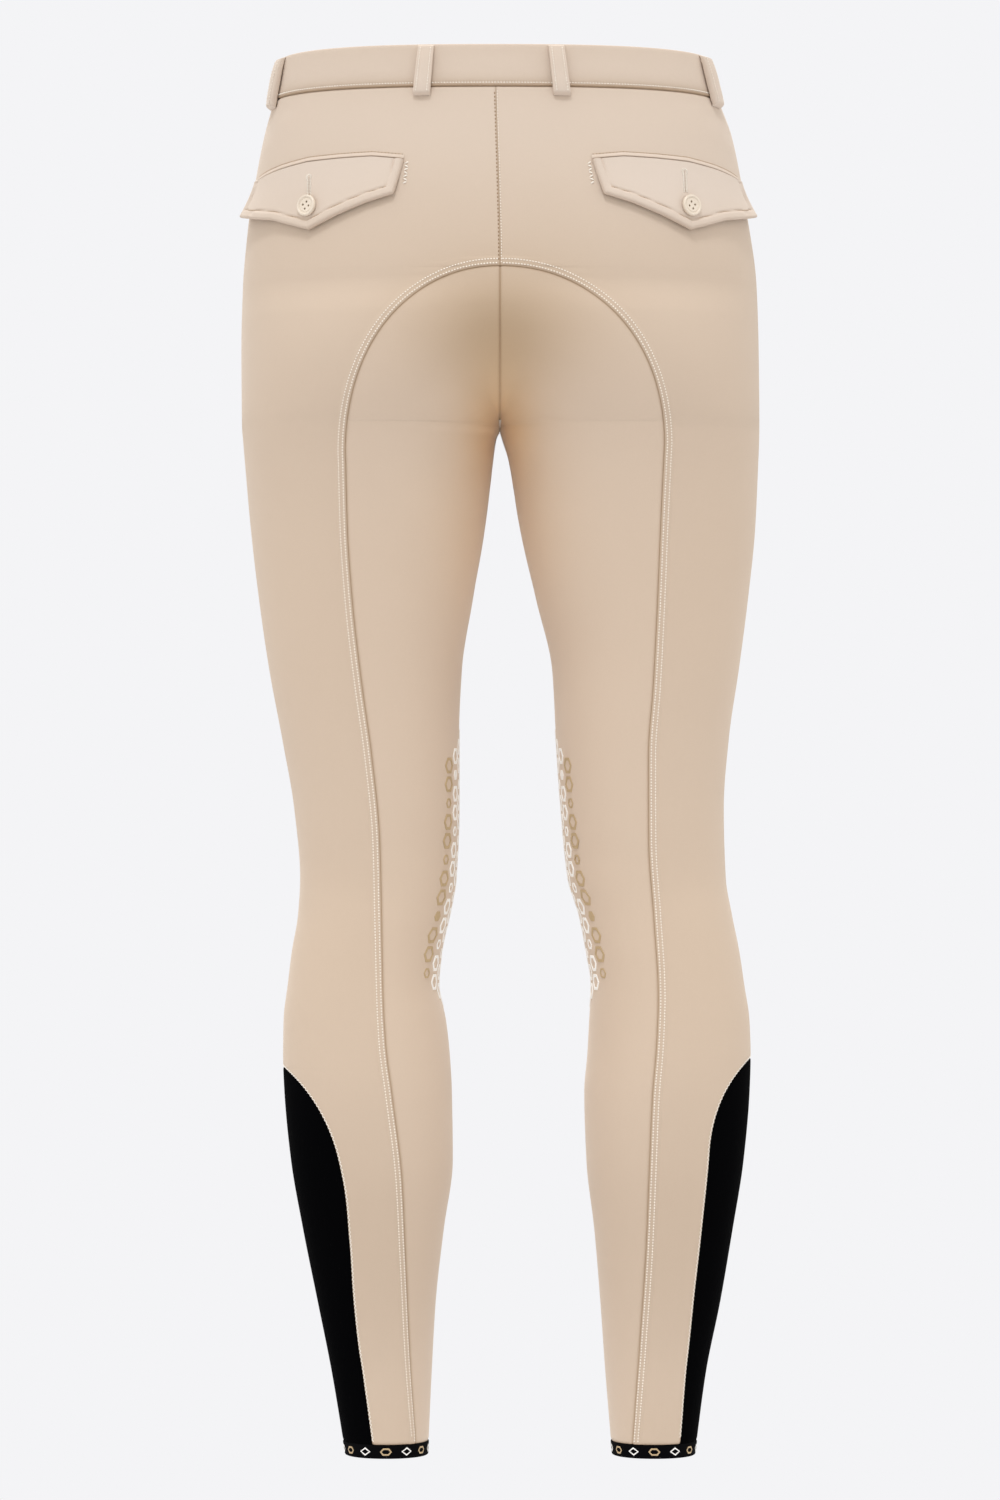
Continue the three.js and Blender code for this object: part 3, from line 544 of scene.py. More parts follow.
def mathOf(tree, operation, *values):
    node = tree.nodes.new("ShaderNodeMath")
    node.operation = operation
    for socket, value in zip(node.inputs, values):
        joinTo(tree, socket, value)
    return node.outputs[0]


def noiseOf(tree, vector, scale, detail=2.0, roughness=0.5):
    node = tree.nodes.new("ShaderNodeTexNoise")
    node.inputs["Detail"].default_value = detail
    node.inputs["Roughness"].default_value = roughness
    joinTo(tree, node.inputs["Scale"], scale)
    joinTo(tree, node.inputs["Vector"], vector)
    return node.outputs["Fac"]


# Fine ribs of a twill or knit from the place on the cloth, in metres
def weaveGroup():
    tree, given, wanted = newGroup(
        "Fine weave", [("Place", "NodeSocketVector", (0, 0, 0)), ("Thread", "NodeSocketFloat", 0.0006),
                       ("Slant", "NodeSocketFloat", 1.0)],
        [("Height", "NodeSocketFloat"), ("Tone", "NodeSocketFloat")])
    parts = tree.nodes.new("ShaderNodeSeparateXYZ")
    tree.links.new(given["Place"], parts.inputs[0])
    turns = mathOf(tree, "DIVIDE", 2 * math.pi, given["Thread"])
    across = mathOf(tree, "MULTIPLY", parts.outputs["X"], turns)
    up = mathOf(tree, "MULTIPLY", parts.outputs["Y"], turns)
    slanted = mathOf(tree, "ADD", across, mathOf(tree, "MULTIPLY", up, given["Slant"]))
    rib = mathOf(tree, "SINE", slanted)
    knot = mathOf(tree, "MULTIPLY", mathOf(tree, "SINE", across), mathOf(tree, "SINE", up))
    height = mathOf(tree, "ADD", mathOf(tree, "MULTIPLY", rib, 0.3), mathOf(tree, "MULTIPLY", knot, 0.2))
    tree.links.new(mathOf(tree, "ADD", height, 0.5), wanted["Height"])
    fibre = noiseOf(tree, given["Place"], 900, 3)
    tree.links.new(mathOf(tree, "ADD", mathOf(tree, "MULTIPLY", height, 0.35), fibre), wanted["Tone"])
    return tree


# Slow unevenness of the dye and nap
def mottleGroup():
    tree, given, wanted = newGroup(
        "Dye mottle", [("Broad", "NodeSocketFloat", 9.0), ("Fine", "NodeSocketFloat", 160.0)],
        [("Tone", "NodeSocketFloat"), ("Nap", "NodeSocketFloat")])
    spot = tree.nodes.new("ShaderNodeTexCoord").outputs["Object"]
    broad = noiseOf(tree, spot, given["Broad"], 2)
    fine = noiseOf(tree, spot, given["Fine"], 4, 0.6)
    tree.links.new(mathOf(tree, "ADD", mathOf(tree, "MULTIPLY", broad, 0.7),
                          mathOf(tree, "MULTIPLY", fine, 0.3)), wanted["Tone"])
    tree.links.new(fine, wanted["Nap"])
    return tree


# Small puckers beside sewn seams, and the painted shade there; Place's Z is how near the seam is
def seamGroup():
    tree, given, wanted = newGroup(
        "Seam pucker and painted shade", [("Place", "NodeSocketVector", (0, 0, 0)), ("Spacing", "NodeSocketFloat", 110.0)],
        [("Height", "NodeSocketFloat"), ("Shade", "NodeSocketFloat")])
    parts = tree.nodes.new("ShaderNodeSeparateXYZ")
    tree.links.new(given["Place"], parts.inputs[0])
    near = mathOf(tree, "MULTIPLY", parts.outputs["Z"], 1 / mm)
    ripple = noiseOf(tree, given["Place"], given["Spacing"], 1)
    tree.links.new(mathOf(tree, "MULTIPLY", ripple, near), wanted["Height"])
    tree.links.new(mathOf(tree, "POWER", mathOf(tree, "MINIMUM", near, 1.0), 2.5), wanted["Shade"])
    return tree


groups = {"weave": weaveGroup(), "mottle": mottleGroup(), "seam": seamGroup()}


def useGroup(tree, group, **values):
    node = tree.nodes.new("ShaderNodeGroup")
    node.node_tree = groups[group]
    for label, value in values.items():
        joinTo(tree, node.inputs[label], value)
    return node.outputs


def colourMix(tree, factor, first, second):
    node = tree.nodes.new("ShaderNodeMix")
    node.data_type = "RGBA"
    joinTo(tree, node.inputs["Factor"], factor)
    joinTo(tree, node.inputs["A"], (*first, 1) if isinstance(first, tuple) else first)
    joinTo(tree, node.inputs["B"], (*second, 1) if isinstance(second, tuple) else second)
    return node.outputs["Result"]


def bumpOf(tree, height, distance, strength, under=None):
    node = tree.nodes.new("ShaderNodeBump")
    node.inputs["Distance"].default_value = distance
    node.inputs["Strength"].default_value = strength
    tree.links.new(height, node.inputs["Height"])
    if under is not None:
        tree.links.new(under, node.inputs["Normal"])
    return node.outputs["Normal"]


def clothFinish(name, look):
    material = bpy.data.materials.new(name)
    material.use_nodes = True
    tree = material.node_tree
    shader = tree.nodes["Principled BSDF"]
    spot = tree.nodes.new("ShaderNodeAttribute")
    spot.attribute_name = "clothPlace"
    place = spot.outputs["Vector"]
    weave = useGroup(tree, "weave", Place=place, Thread=look["thread"], Slant=look["slant"])
    mottle = useGroup(tree, "mottle", Broad=look["broad"], Fine=look["fine"])
    seam = useGroup(tree, "seam", Place=place, Spacing=look["pucker"])
    tone = mathOf(tree, "ADD", mathOf(tree, "MULTIPLY", weave["Tone"], look["weaveTone"]),
                  mathOf(tree, "MULTIPLY", mottle["Tone"], 1 - look["weaveTone"]))
    colour = colourMix(tree, tone, look["dark"], look["light"])
    # Painted shade beside seams: the colour is pulled towards the seam colour where a seam's groove is
    # shaded
    shade = mathOf(tree, "MULTIPLY", seam["Shade"], look["seamPaintedShade"])
    colour = colourMix(tree, shade, colour, look["seam"])
    # Painted shade and light of the tint patches, multiplied into the colour
    tint = tree.nodes.new("ShaderNodeAttribute")
    tint.attribute_name = "clothTintAndShade"
    tinted = tree.nodes.new("ShaderNodeVectorMath")
    tinted.operation = "MULTIPLY"
    tree.links.new(colour, tinted.inputs[0])
    tree.links.new(tint.outputs["Vector"], tinted.inputs[1])
    tree.links.new(tinted.outputs[0], shader.inputs["Base Color"])
    rough = mathOf(tree, "ADD", look["rough"] - 0.06, mathOf(tree, "MULTIPLY", mottle["Nap"], 0.12))
    tree.links.new(rough, shader.inputs["Roughness"])
    normal = bumpOf(tree, weave["Height"], look["weaveDepth"], 1)
    normal = bumpOf(tree, seam["Height"], look["puckerDepth"], 1, normal)
    tree.links.new(normal, shader.inputs["Normal"])
    shader.inputs["Specular IOR Level"].default_value = look["specular"]
    shader.inputs["Sheen Weight"].default_value = look["sheen"]
    shader.inputs["Sheen Roughness"].default_value = look["sheenRough"]
    shader.inputs["Sheen Tint"].default_value = (*look["sheenTint"], 1)
    return material


# Each finish: colours are linear, lengths in metres; the seam colour is that of the painted shade beside
# seams
breechCloth = {
    "light": (0.655, 0.524, 0.412), "dark": (0.582, 0.460, 0.354), "seam": (0.34, 0.22, 0.125),
    "seamPaintedShade": 0.85, "thread": 0.0007, "slant": 0.55, "weaveTone": 0.35, "weaveDepth": 0.00005,
    "broad": 7.0, "fine": 260.0, "pucker": 140.0, "puckerDepth": 0.0006, "rough": 0.78, "specular": 0.22,
    "sheen": 0.25, "sheenRough": 0.4, "sheenTint": (1.0, 0.94, 0.86)}
fullSeat = {**breechCloth, "light": (0.672, 0.538, 0.424), "dark": (0.597, 0.472, 0.366),
            "seam": (0.36, 0.24, 0.14), "thread": 0.0009, "weaveTone": 0.3, "rough": 0.86,
            "specular": 0.12, "sheen": 0.4, "sheenRough": 0.55, "fine": 420.0}
blackStretch = {**breechCloth, "light": (0.0016, 0.0016, 0.002), "dark": (0.0007, 0.0007, 0.001),
                "seam": (0.0006, 0.0006, 0.0008), "seamPaintedShade": 0.3, "thread": 0.0011, "slant": 0.0,
                "rough": 0.95, "specular": 0.015, "sheen": 0.0}
hemWebbing = {**blackStretch, "light": (0.004, 0.004, 0.005), "thread": 0.0014, "slant": 1.0,
              "specular": 0.04}
finishes = {
    "cloth": clothFinish("Breech cloth", breechCloth),
    "seatCloth": clothFinish("Full seat", fullSeat),
    "stretch": clothFinish("Black stretch", blackStretch),
    "band": clothFinish("Hem webbing", hemWebbing),
}


# Thread, moulded buttons and printed grip are smooth but for a fine grain
def solidFinish(name, look):
    material = bpy.data.materials.new(name)
    material.use_nodes = True
    tree = material.node_tree
    shader = tree.nodes["Principled BSDF"]
    mottle = useGroup(tree, "mottle", Broad=look["broad"], Fine=look["fine"])
    tree.links.new(colourMix(tree, mottle["Tone"], look["dark"], look["light"]), shader.inputs["Base Color"])
    rough = mathOf(tree, "ADD", look["rough"], mathOf(tree, "MULTIPLY", mottle["Nap"], 0.1))
    tree.links.new(rough, shader.inputs["Roughness"])
    tree.links.new(bumpOf(tree, mottle["Nap"], look["grain"], 0.6), shader.inputs["Normal"])
    shader.inputs["Specular IOR Level"].default_value = look["specular"]
    return material


solidLooks = {
    "creamThread": {"light": (0.94, 0.88, 0.79), "dark": (0.87, 0.79, 0.69), "rough": 0.55, "specular": 0.3,
                    "broad": 400.0, "fine": 2500.0, "grain": 0.0001},
    "tanThread": {"light": (0.66, 0.49, 0.34), "dark": (0.54, 0.39, 0.26), "rough": 0.6, "specular": 0.2,
                  "broad": 400.0, "fine": 2500.0, "grain": 0.0001},
    # Dark brown marks: painted shade standing for the shade inside needle holes and the buttonhole's slit
    "holeShade": {"light": (0.34, 0.22, 0.13), "dark": (0.25, 0.16, 0.09), "rough": 0.9, "specular": 0.05,
                   "broad": 400.0, "fine": 2500.0, "grain": 0.0001},
    "buttonResin": {"light": (0.8, 0.7, 0.585), "dark": (0.72, 0.615, 0.495), "rough": 0.3, "specular": 0.5,
                    "broad": 90.0, "fine": 500.0, "grain": 0.00002},
    # Cream print on the hem bands; on the knee the same cream is a painted highlight on the tan print
    "creamPrintAndHighlight": {"light": (0.97, 0.95, 0.91), "dark": (0.92, 0.89, 0.84), "rough": 0.4, "specular": 0.4,
                  "broad": 60.0, "fine": 700.0, "grain": 0.00004},
    "tanGrip": {"light": (0.53, 0.39, 0.225), "dark": (0.46, 0.33, 0.18), "rough": 0.42, "specular": 0.35,
                "broad": 60.0, "fine": 700.0, "grain": 0.00004},
}
finishes.update({name: solidFinish(name, look) for name, look in solidLooks.items()})
print("finishes made")

# Panels: rows down the garment, closer together at the seams, and columns closer at the edges
edgeSteps = np.array([0, 0.3, 0.7, 1.2, 1.8, 2.5, 3.3, 4.2, 5.2, 6, 6.8, 7.8, 9.5, 12, 15.5])
middleColumns = 15


def columnPlaces(width):
    scale = np.minimum(1, width / (2 * edgeSteps[-1] * 1.12))[:, None]
    left = edgeSteps[None] * scale
    middle = np.linspace(0, 1, middleColumns + 2)[1:-1][None]
    middle = mix(left[:, -1:], width[:, None] - left[:, -1:], middle)
    return np.hstack([left, middle, width[:, None] - left[:, ::-1]])


def rowsDown(top, low, marks, coarse=4.2):
    rows = [top]
    while True:
        z = rows[-1]
        step = min([coarse] + [max(fine, fine + (abs(z - at) - reach) * 0.16) for at, fine, reach in marks])
        if z - low < 1.4 * step:
            return np.array(rows + [low])
        rows.append(z - step)


def panelRows(kind, side):
    waistMark, hemMark = (seamZ, 0.45, 1.5), (hemZ, 0.45, 1.5)
    apex, ankleTop = seatArch[side]["top"], ankleArch[side]["top"]
    archBelow = apex - 26 * (np.arange(1, 25) / 24) ** 2.4
    ankleBelow = ankleTop - 16 * (np.arange(1, 21) / 20) ** 2.4
    if kind == "seat":
        rows = rowsDown(archBelow[-1], hemZ + shownHalf, [(apex - 40, 1.1, 16), (crotchZ, 1.2, 4), hemMark])
        return np.concatenate([[apex - shownHalf], archBelow[:-1], rows])
    if kind == "ankle":
        rows = rowsDown(ankleBelow[-1], hemZ + shownHalf, [(ankleTop - 20, 1.2, 12), hemMark])
        return np.concatenate([[ankleTop - shownHalf], ankleBelow[:-1], rows])
    if kind == "back":
        above = rowsDown(seamZ - shownHalf, apex + shownHalf, [waistMark, (apex + 3, 0.65, 6)])
        middle = rowsDown(archBelow[-1], ankleTop + shownHalf, [(apex - 44, 1.1, 20), (ankleTop, 0.7, 2)])
        above = np.concatenate([above, archBelow[:-1]])
    else:
        above = np.array([])
        marks = [waistMark, (crotchZ, 0.9, 8), (ankleTop, 0.7, 2)]
        middle = rowsDown(seamZ - shownHalf, ankleTop + shownHalf, marks)
    below = rowsDown(ankleBelow[-1], hemZ + shownHalf, [(ankleTop - 20, 1.2, 12), hemMark])
    return np.concatenate([above, middle, ankleBelow[:-1], below])


def panelEdges(kind, side, z):
    back, front = (shareOfLength(side, shownHalf, z, half) for half in ("back", "front"))
    if kind == "front":
        inner = np.where(z >= crotchZ, 1, frontSeam(z))
        return 0.5 + ankleShare(side, z, z - shownHalf, "front") + front, inner - front
    if kind == "back":
        inner = np.where(z > seatArch[side]["top"], 0, seatShare(side, z, z - shownHalf))
        return inner + back, 0.5 - ankleShare(side, z, z - shownHalf, "back") - back
    if kind == "seat":
        inner = np.where(z >= crotchZ, 0, frontSeam(z) - 1)
        return inner + back, np.maximum(inner + back, seatShare(side, z, z + shownHalf) - back)
    half = [ankleShare(side, z, z + shownHalf, name) for name in ("back", "front")]
    return 0.5 - np.maximum(0, half[0] - back), 0.5 + np.maximum(0, half[1] - back)


panels = {
    "front": {"finish": "cloth", "slot": "cloth", "held": "stretched", "flat": (0.32, 0.96)},
    "back": {"finish": "cloth", "slot": "cloth", "held": "stretched", "flat": (0.252, 0.96)},
    "seat": {"finish": "seatCloth", "slot": "seat_cloth", "held": "stretched", "flat": (0.202, 0.832)},
    "ankle": {"finish": "stretch", "slot": "stretch", "held": "stretched", "flat": (0.138, 0.275)},
}


def buildPanel(kind, side):
    heights = panelRows(kind, side)
    start, end = panelEdges(kind, side, heights)
    first, last = alongAt(side, start, heights), alongAt(side, end, heights)
    along = first[:, None] + columnPlaces(np.maximum(last - first, 0))
    share = shareAt(side, along, heights[:, None])
    z = rowZ(heights[:, None], share)
    base, normal = clothPoint(side, share, z)
    lift, near = clothRelief(kind, side, base)
    points = np.stack([base + normal * lift[..., None], base - normal * garment["cloth"]])
    place = np.stack([sign[side] * along, z, near], -1)
    faces = wallFaces(*base.shape[:2])
    piece = makePiece(f"cloth_{kind}_{side}", points, faces, np.stack([place, place]))
    look = panels[kind]
    dress(piece, finishes[look["finish"]], f"{kind}_{side}")


for kind in panels:
    for side in sides:
        buildPanel(kind, side)
print("panels made")

# Bands swept round the body: each profile runs round the band's section, from the top edge down
# its outer face and back up inside, as a share of its height and a distance out
bandProfile = np.array([
    (0, -1.1), (0.002, -0.6), (0.012, -0.2), (0.035, 0.05), (0.08, 0.12), (0.16, 0.05), (0.4, 0),
    (0.62, 0.02), (0.78, 0.12), (0.85, 0.14), (0.89, 0.1), (0.91, 0.02), (0.925, -0.12), (0.94, 0.1),
    (0.955, 0.34), (0.972, 0.4), (0.985, 0.2), (0.995, -0.3), (1, -0.95), (1, -1.5), (0.994, -2.05),
    (0.97, -2.2), (0.7, -2.2), (0.35, -2.2), (0.05, -2.2), (0.01, -2.1), (0, -1.65)])
hemProfile = np.array([
    (0, -0.9), (0.01, -0.3), (0.04, 0.1), (0.1, 0.3), (0.3, 0.32), (0.7, 0.32), (0.9, 0.3), (0.97, 0.08),
    (1, -0.4), (1, -1.1), (0.96, -1.6), (0.8, -1.7), (0.2, -1.7), (0.04, -1.6), (0, -1.3)])


def sweptBand(path, profile, top, low, ring=False):
    rows = []
    for part, out in profile:
        height = mix(top, low, part)
        row = np.empty((len(path["share"]), 3))
        for side in sides:
            mine = path["side"] == sign[side]
            row[mine] = clothPoint(side, path["share"][mine], rowZ(height, path["share"][mine]),
                                   out + path["step"][mine])[0]
        rows.append(row)
    points = np.array(rows)
    count, columns = points.shape[:2]
    index = np.arange(count * columns).reshape(count, columns)
    index = np.vstack([index, index[:1]])
    if ring:
        index = np.hstack([index, index[:, :1]])
    faces = gridFaces(index).tolist()
    if not ring:
        faces += [index[:-1, 0].tolist()[::-1], index[:-1, -1].tolist()]
    travelled = np.append(0, np.cumsum(np.linalg.norm(np.diff(points[0], axis=0), axis=1)))
    # Painted shade along the band's lower edge, where it meets the panels below
    near = np.exp(-3 * (1 - profile[:, :1]))
    place = np.stack(np.broadcast_arrays(travelled[None], points[..., 2], near), -1)
    return points, faces, place


def waistPath():
    lapStep = waistband["thickness"] + 2 * garment["seamGap"]
    ramp = shareOfLength("left", waistband["lapRamp"], seamZ, "front")
    lap = shareOfLength("right", waistband["lap"], seamZ, "front")
    stretches = [("right", 1, 0.5, 70, 0, 0), ("right", 0.5, 0, 70, 0, 0), ("left", 0, 0.5, 70, 0, 0),
                 ("left", 0.5, 1 - ramp, 66, 0, 0), ("left", 1 - ramp, 1, 8, 0, lapStep),
                 ("right", 1, 1 - lap, 14, lapStep, lapStep)]
    path = {"side": [], "share": [], "step": []}
    for number, (side, start, end, count, low, high) in enumerate(stretches):
        t = np.linspace(0, 1, count + 1)[0 if number == 0 else 1:]
        path["side"].append(np.full(len(t), sign[side]))
        path["share"].append(mix(start, end, t))
        path["step"].append(mix(low, high, smooth(t)))
    return {name: np.concatenate(parts) for name, parts in path.items()}


points, faces, place = sweptBand(waistPath(), bandProfile, 0, seamZ + shownHalf)
piece = makePiece("cloth_waistband", points, faces, place, join=False, pale=0.4)
dress(piece, finishes["cloth"], "waistband")

for side in sides:
    shares = np.arange(104) / 104
    path = {"side": np.full(104, sign[side]), "share": shares, "step": np.zeros(104)}
    points, faces, place = sweptBand(path, hemProfile, hemZ - shownHalf, -garment["length"], ring=True)
    piece = makePiece(f"cloth_hem_{side}", points, faces, place, join=False)
    dress(piece, finishes["band"], f"hem_{side}")
print("bands made")

# Belt loops: folded strips, sewn down at both ends and bowed out between them
beltLoop = {"width": 12, "below": 7, "topInset": 1, "rowInset": 2.2, "channel": 0.3, "rows": 56, "round": 30,
            "held": {"back": 0.6, "side": 0.15, "front": 1.0},
            "spread": {"back": 0.0, "side": 0.2, "front": 0.0}}
loopPlaces = {"back": {"left": 0.133, "right": 0.118}, "side": {"left": 0.46, "right": 0.44},
              "front": {"left": 0.84, "right": 0.84}}
loopInside = curveThrough(loopForm, "inside", "along")
loopOut = curveThrough(loopForm, "out", "along")


def loopSpot(side, centre, along, across, out):
    height = mix(-beltLoop["topInset"], seamZ - beltLoop["below"], along)
    share = centre + shareOfLength(side, across, seamZ, "back" if centre < 0.5 else "front")
    return clothPoint(side, share, rowZ(height, share), out)


def buildLoop(name, side, centre):
    t = np.linspace(0, 1, beltLoop["rows"])
    along = 0.5 - 0.5 * np.cos(np.pi * t) * (0.55 + 0.45 * np.abs(np.cos(np.pi * t)) ** 0.2)
    along = np.clip(np.unique(np.concatenate([along, [0, 1]])), 0, 1)
    turn = np.arange(beltLoop["round"]) * 2 * np.pi / beltLoop["round"]
    half = beltLoop["width"] / 2
    across = half * np.sign(np.cos(turn)) * np.abs(np.cos(turn)) ** 0.6
    facing = np.sign(np.sin(turn)) * np.abs(np.sin(turn)) ** 0.45
    across = across * (1 + beltLoop["spread"][name] * (0.5 - 0.5 * facing))
    inside, out = loopInside(along)[:, None] * beltLoop["held"][name], loopOut(along)[:, None]
    fullness = np.minimum(1, np.minimum(along, 1 - along)[:, None] / 0.03) ** 0.5 * 0.75 + 0.25
    thickness = (out - inside) / 2 * fullness
    channel = beltLoop["channel"] * np.exp(-((np.abs(across) - half + beltLoop["rowInset"]) / 0.7) ** 2)
    height = inside + thickness + facing * thickness - channel * (facing > 0.5)
    points, _ = loopSpot(side, centre, along[:, None], across, height)
    index = np.arange(points.shape[0] * points.shape[1]).reshape(points.shape[:2])
    index = np.hstack([index, index[:, :1]])
    faces = gridFaces(index).tolist()
    faces += [index[0, :-1].tolist(), index[-1, :-1].tolist()[::-1]]
    # Painted shade along the strip's edges and side walls
    near = 0.4 * np.exp(-np.maximum(0, half - np.abs(across)) / 1.5)
    place = np.stack(np.broadcast_arrays(across, along[:, None] * 36, near), -1)
    piece = makePiece(f"cloth_loop_{name}_{side}", points, faces, place, join=False, pale=0.8)
    dress(piece, finishes["cloth"], f"loop_{name}_{side}")


for name, centres in loopPlaces.items():
    for side in sides:
        buildLoop(name, side, centres[side])
print("belt loops made")

# Pocket flaps: faced cloth with a full, padded border inside its edge and a row of stitches
flap = {"thickness": 2.6, "border": 6.4, "full": 3.1, "field": 2.2, "channel": 1.3, "gap": 0.3,
        "tipLift": 2, "endLift": 3, "endFrom": 3.6, "columns": 90, "rows": 46}
lastStep = flapTable["step"][-1]


def flapEdge(name, step):
    return np.interp(step, flapTable["step"], flapTable[name])


def flapLift(step, down):
    end = smooth(clamp01((step - flap["endFrom"]) / (lastStep - flap["endFrom"])))
    return flap["gap"] + down * down * mix(flap["tipLift"], flap["tipLift"] + flap["endLift"], end)


def flapPlace(step, down):
    along = mix(flapEdge("topAlong", step), flapEdge("lowAlong", step), down)
    return along, mix(flapEdge("topZ", step), flapEdge("lowZ", step), down)


# The step and depth on the flap for a place on the cloth
def flapStepAt(along, z):
    steps = np.linspace(0, lastStep, 501)
    found = []
    for a, height in zip(np.ravel(along), np.ravel(z)):
        down = 0.5
        for _ in range(10):
            step = np.interp(a, flapPlace(steps, down)[0], steps)
            down = (flapEdge("topZ", step) - height) / (flapEdge("topZ", step) - flapEdge("lowZ", step))
        found.append((step, down))
    return np.array(found).T


flapBorder = np.array([(flapTable["topAlong"][0], flapTable["topZ"][0], 0)]
                      + [(a, z, 0) for a, z in zip(flapTable["lowAlong"], flapTable["lowZ"])]
                      + [(flapTable["topAlong"][-1], flapTable["topZ"][-1], 0)])


# How thick the flap is at a distance from its free edges
def flapFullness(along, z):
    away, _ = distanceTo(flapBorder, np.stack([along, z, np.zeros_like(along)], -1))
    rise = np.sqrt(np.clip(1 - (1 - clamp01(away / 2.2)) ** 2, 0, 1))
    inward = smooth(clamp01((away - flap["border"] + 0.6) / 2.2))
    full = mix(flap["full"], flap["field"], inward)
    channel = (full - flap["channel"]) * np.exp(-((away - flap["border"]) / 0.75) ** 2)
    return 0.5 + (full - channel - 0.5) * rise


def flapSpot(side, step, down, extra=0.0):
    along, z = flapPlace(step, down)
    out = flapLift(step, down) + flapFullness(along, z) + extra
    return clothPoint(side, shareOfLength(side, along, z, "back"), z, out)


def edgeSpread(count, power=1.7):
    t = np.linspace(-1, 1, count)
    return 0.5 + 0.5 * np.sign(t) * (1 - (1 - np.abs(t)) ** power)


def buildFlap(side):
    lower = np.interp(np.linspace(0, 1, flap["columns"]), [0, 0.06, 0.56, 0.62, 0.94, 1],
                      [0, 0.12, 2.9, 3.12, 4.85, lastStep])
    steps = np.unique(np.concatenate([lower, flapTable["step"]]))
    down = edgeSpread(flap["rows"])[:, None]
    outer, _ = flapSpot(side, steps[None], down)
    along, z = flapPlace(steps[None], down)
    inner, _ = clothPoint(side, shareOfLength(side, along, z, "back"), z, flapLift(steps[None], down))
    # Painted shade towards the flap's free edges
    near = np.broadcast_to(np.exp(-distanceTo(flapBorder, np.stack([along, z, 0 * z], -1))[0] / 5), z.shape)
    place = np.stack(np.broadcast_arrays(sign[side] * along, z, near * 0.6), -1)
    piece = makePiece(f"cloth_flap_{side}", np.stack([outer, inner]), wallFaces(*outer.shape[:2]),
                      np.stack([place, place]), pale=1.0)
    dress(piece, finishes["cloth"], f"flap_{side}")


# The turned lip above each flap
welt = {"height": 3.0, "thickness": 1.6, "gap": 0.3, "aboveFlap": 0.9}


def buildWelt(side):
    steps = np.linspace(0, lastStep, 110)
    turn = np.arange(16) * 2 * np.pi / 16
    rise = 0.5 + 0.5 * np.sign(np.cos(turn)) * np.abs(np.cos(turn)) ** 0.7
    out = 0.5 + 0.5 * np.sign(np.sin(turn)) * np.abs(np.sin(turn)) ** 0.7
    ends = np.minimum(1, np.minimum(steps, lastStep - steps) / 0.12)[None] ** 0.6
    z = flapEdge("topZ", steps)[None] + welt["aboveFlap"] + welt["height"] * rise[:, None]
    along = np.broadcast_to(flapEdge("topAlong", steps)[None], z.shape)
    taper = (1 - rise[:, None]) ** 0.7
    full = welt["thickness"] * mix(0.12, 1, taper) * (0.35 + 0.65 * ends)
    lift = welt["gap"] * mix(0.2, 1, taper) + full * out[:, None]
    points, _ = clothPoint(side, shareOfLength(side, along, z, "back"), z, lift)
    index = np.arange(points.shape[0] * points.shape[1]).reshape(points.shape[:2])
    index = np.vstack([index, index[:1]])
    faces = gridFaces(index).tolist()
    faces += [index[:-1, 0].tolist()[::-1], index[:-1, -1].tolist()]
    place = np.stack(np.broadcast_arrays(along, z, 0.3), -1)
    piece = makePiece(f"cloth_welt_{side}", points, faces, place, join=False, pale=0.5)
    dress(piece, finishes["cloth"], f"welt_{side}")


for side in sides:
    buildFlap(side)
    buildWelt(side)
print("pocket flaps made")

# The fly's outer lap, with its curved end
fly = {"lapOver": 6, "width": 34, "length": 138, "curve": 42, "thickness": 1.6, "belowSeam": 1.2,
       "gap": 0.3, "stitchInset": 4.5, "rows": 70, "columns": 30}
flyTop = seamZ - fly["belowSeam"]


def flyReach(height):
    turn = clamp01((height - flyTop + fly["length"]) / fly["curve"])
    return fly["width"] * np.sqrt(1 - (1 - turn) ** 2)


def flySpot(across, height, out):
    z = rowZ(height, 1.0)
    points = []
    for side in sides:
        share = 1 - shareOfLength(side, np.abs(across), z, "front")
        points.append(clothPoint(side, share, z, out))
    wide = (across < 0)[..., None]
    return np.where(wide, points[1][0], points[0][0]), np.where(wide, points[1][1], points[0][1])


heights = flyTop - fly["length"] * (1 - (1 - np.linspace(0, 1, fly["rows"])) ** 2)
reach = np.maximum(flyReach(heights), 1 - fly["lapOver"])
across = mix(-fly["lapOver"], reach[:, None], edgeSpread(fly["columns"])[None])
heightGrid = np.broadcast_to(heights[:, None], across.shape)
edgeAway = np.minimum(reach[:, None] - across, across + fly["lapOver"])
edgeAway = np.minimum(edgeAway, np.maximum(heightGrid - flyTop + fly["length"], 0) + 0 * across)
rise = np.sqrt(np.clip(1 - (1 - clamp01(edgeAway / 1.2)) ** 2, 0, 1))
channel = 0.4 * np.exp(-((reach[:, None] - across - fly["stitchInset"]) / 0.8) ** 2)
outer, _ = flySpot(across, heightGrid, fly["gap"] + 0.4 + (fly["thickness"] - 0.4) * rise - channel * rise)
inner, _ = flySpot(across, heightGrid, np.full(across.shape, fly["gap"]))
place = np.stack(np.broadcast_arrays(across, heightGrid, 0.2), -1)
piece = makePiece("cloth_fly_lap", np.stack([outer, inner]), wallFaces(*outer.shape[:2]),
                  np.stack([place, place]))
dress(piece, finishes["cloth"], "fly_lap")
print("fly made")

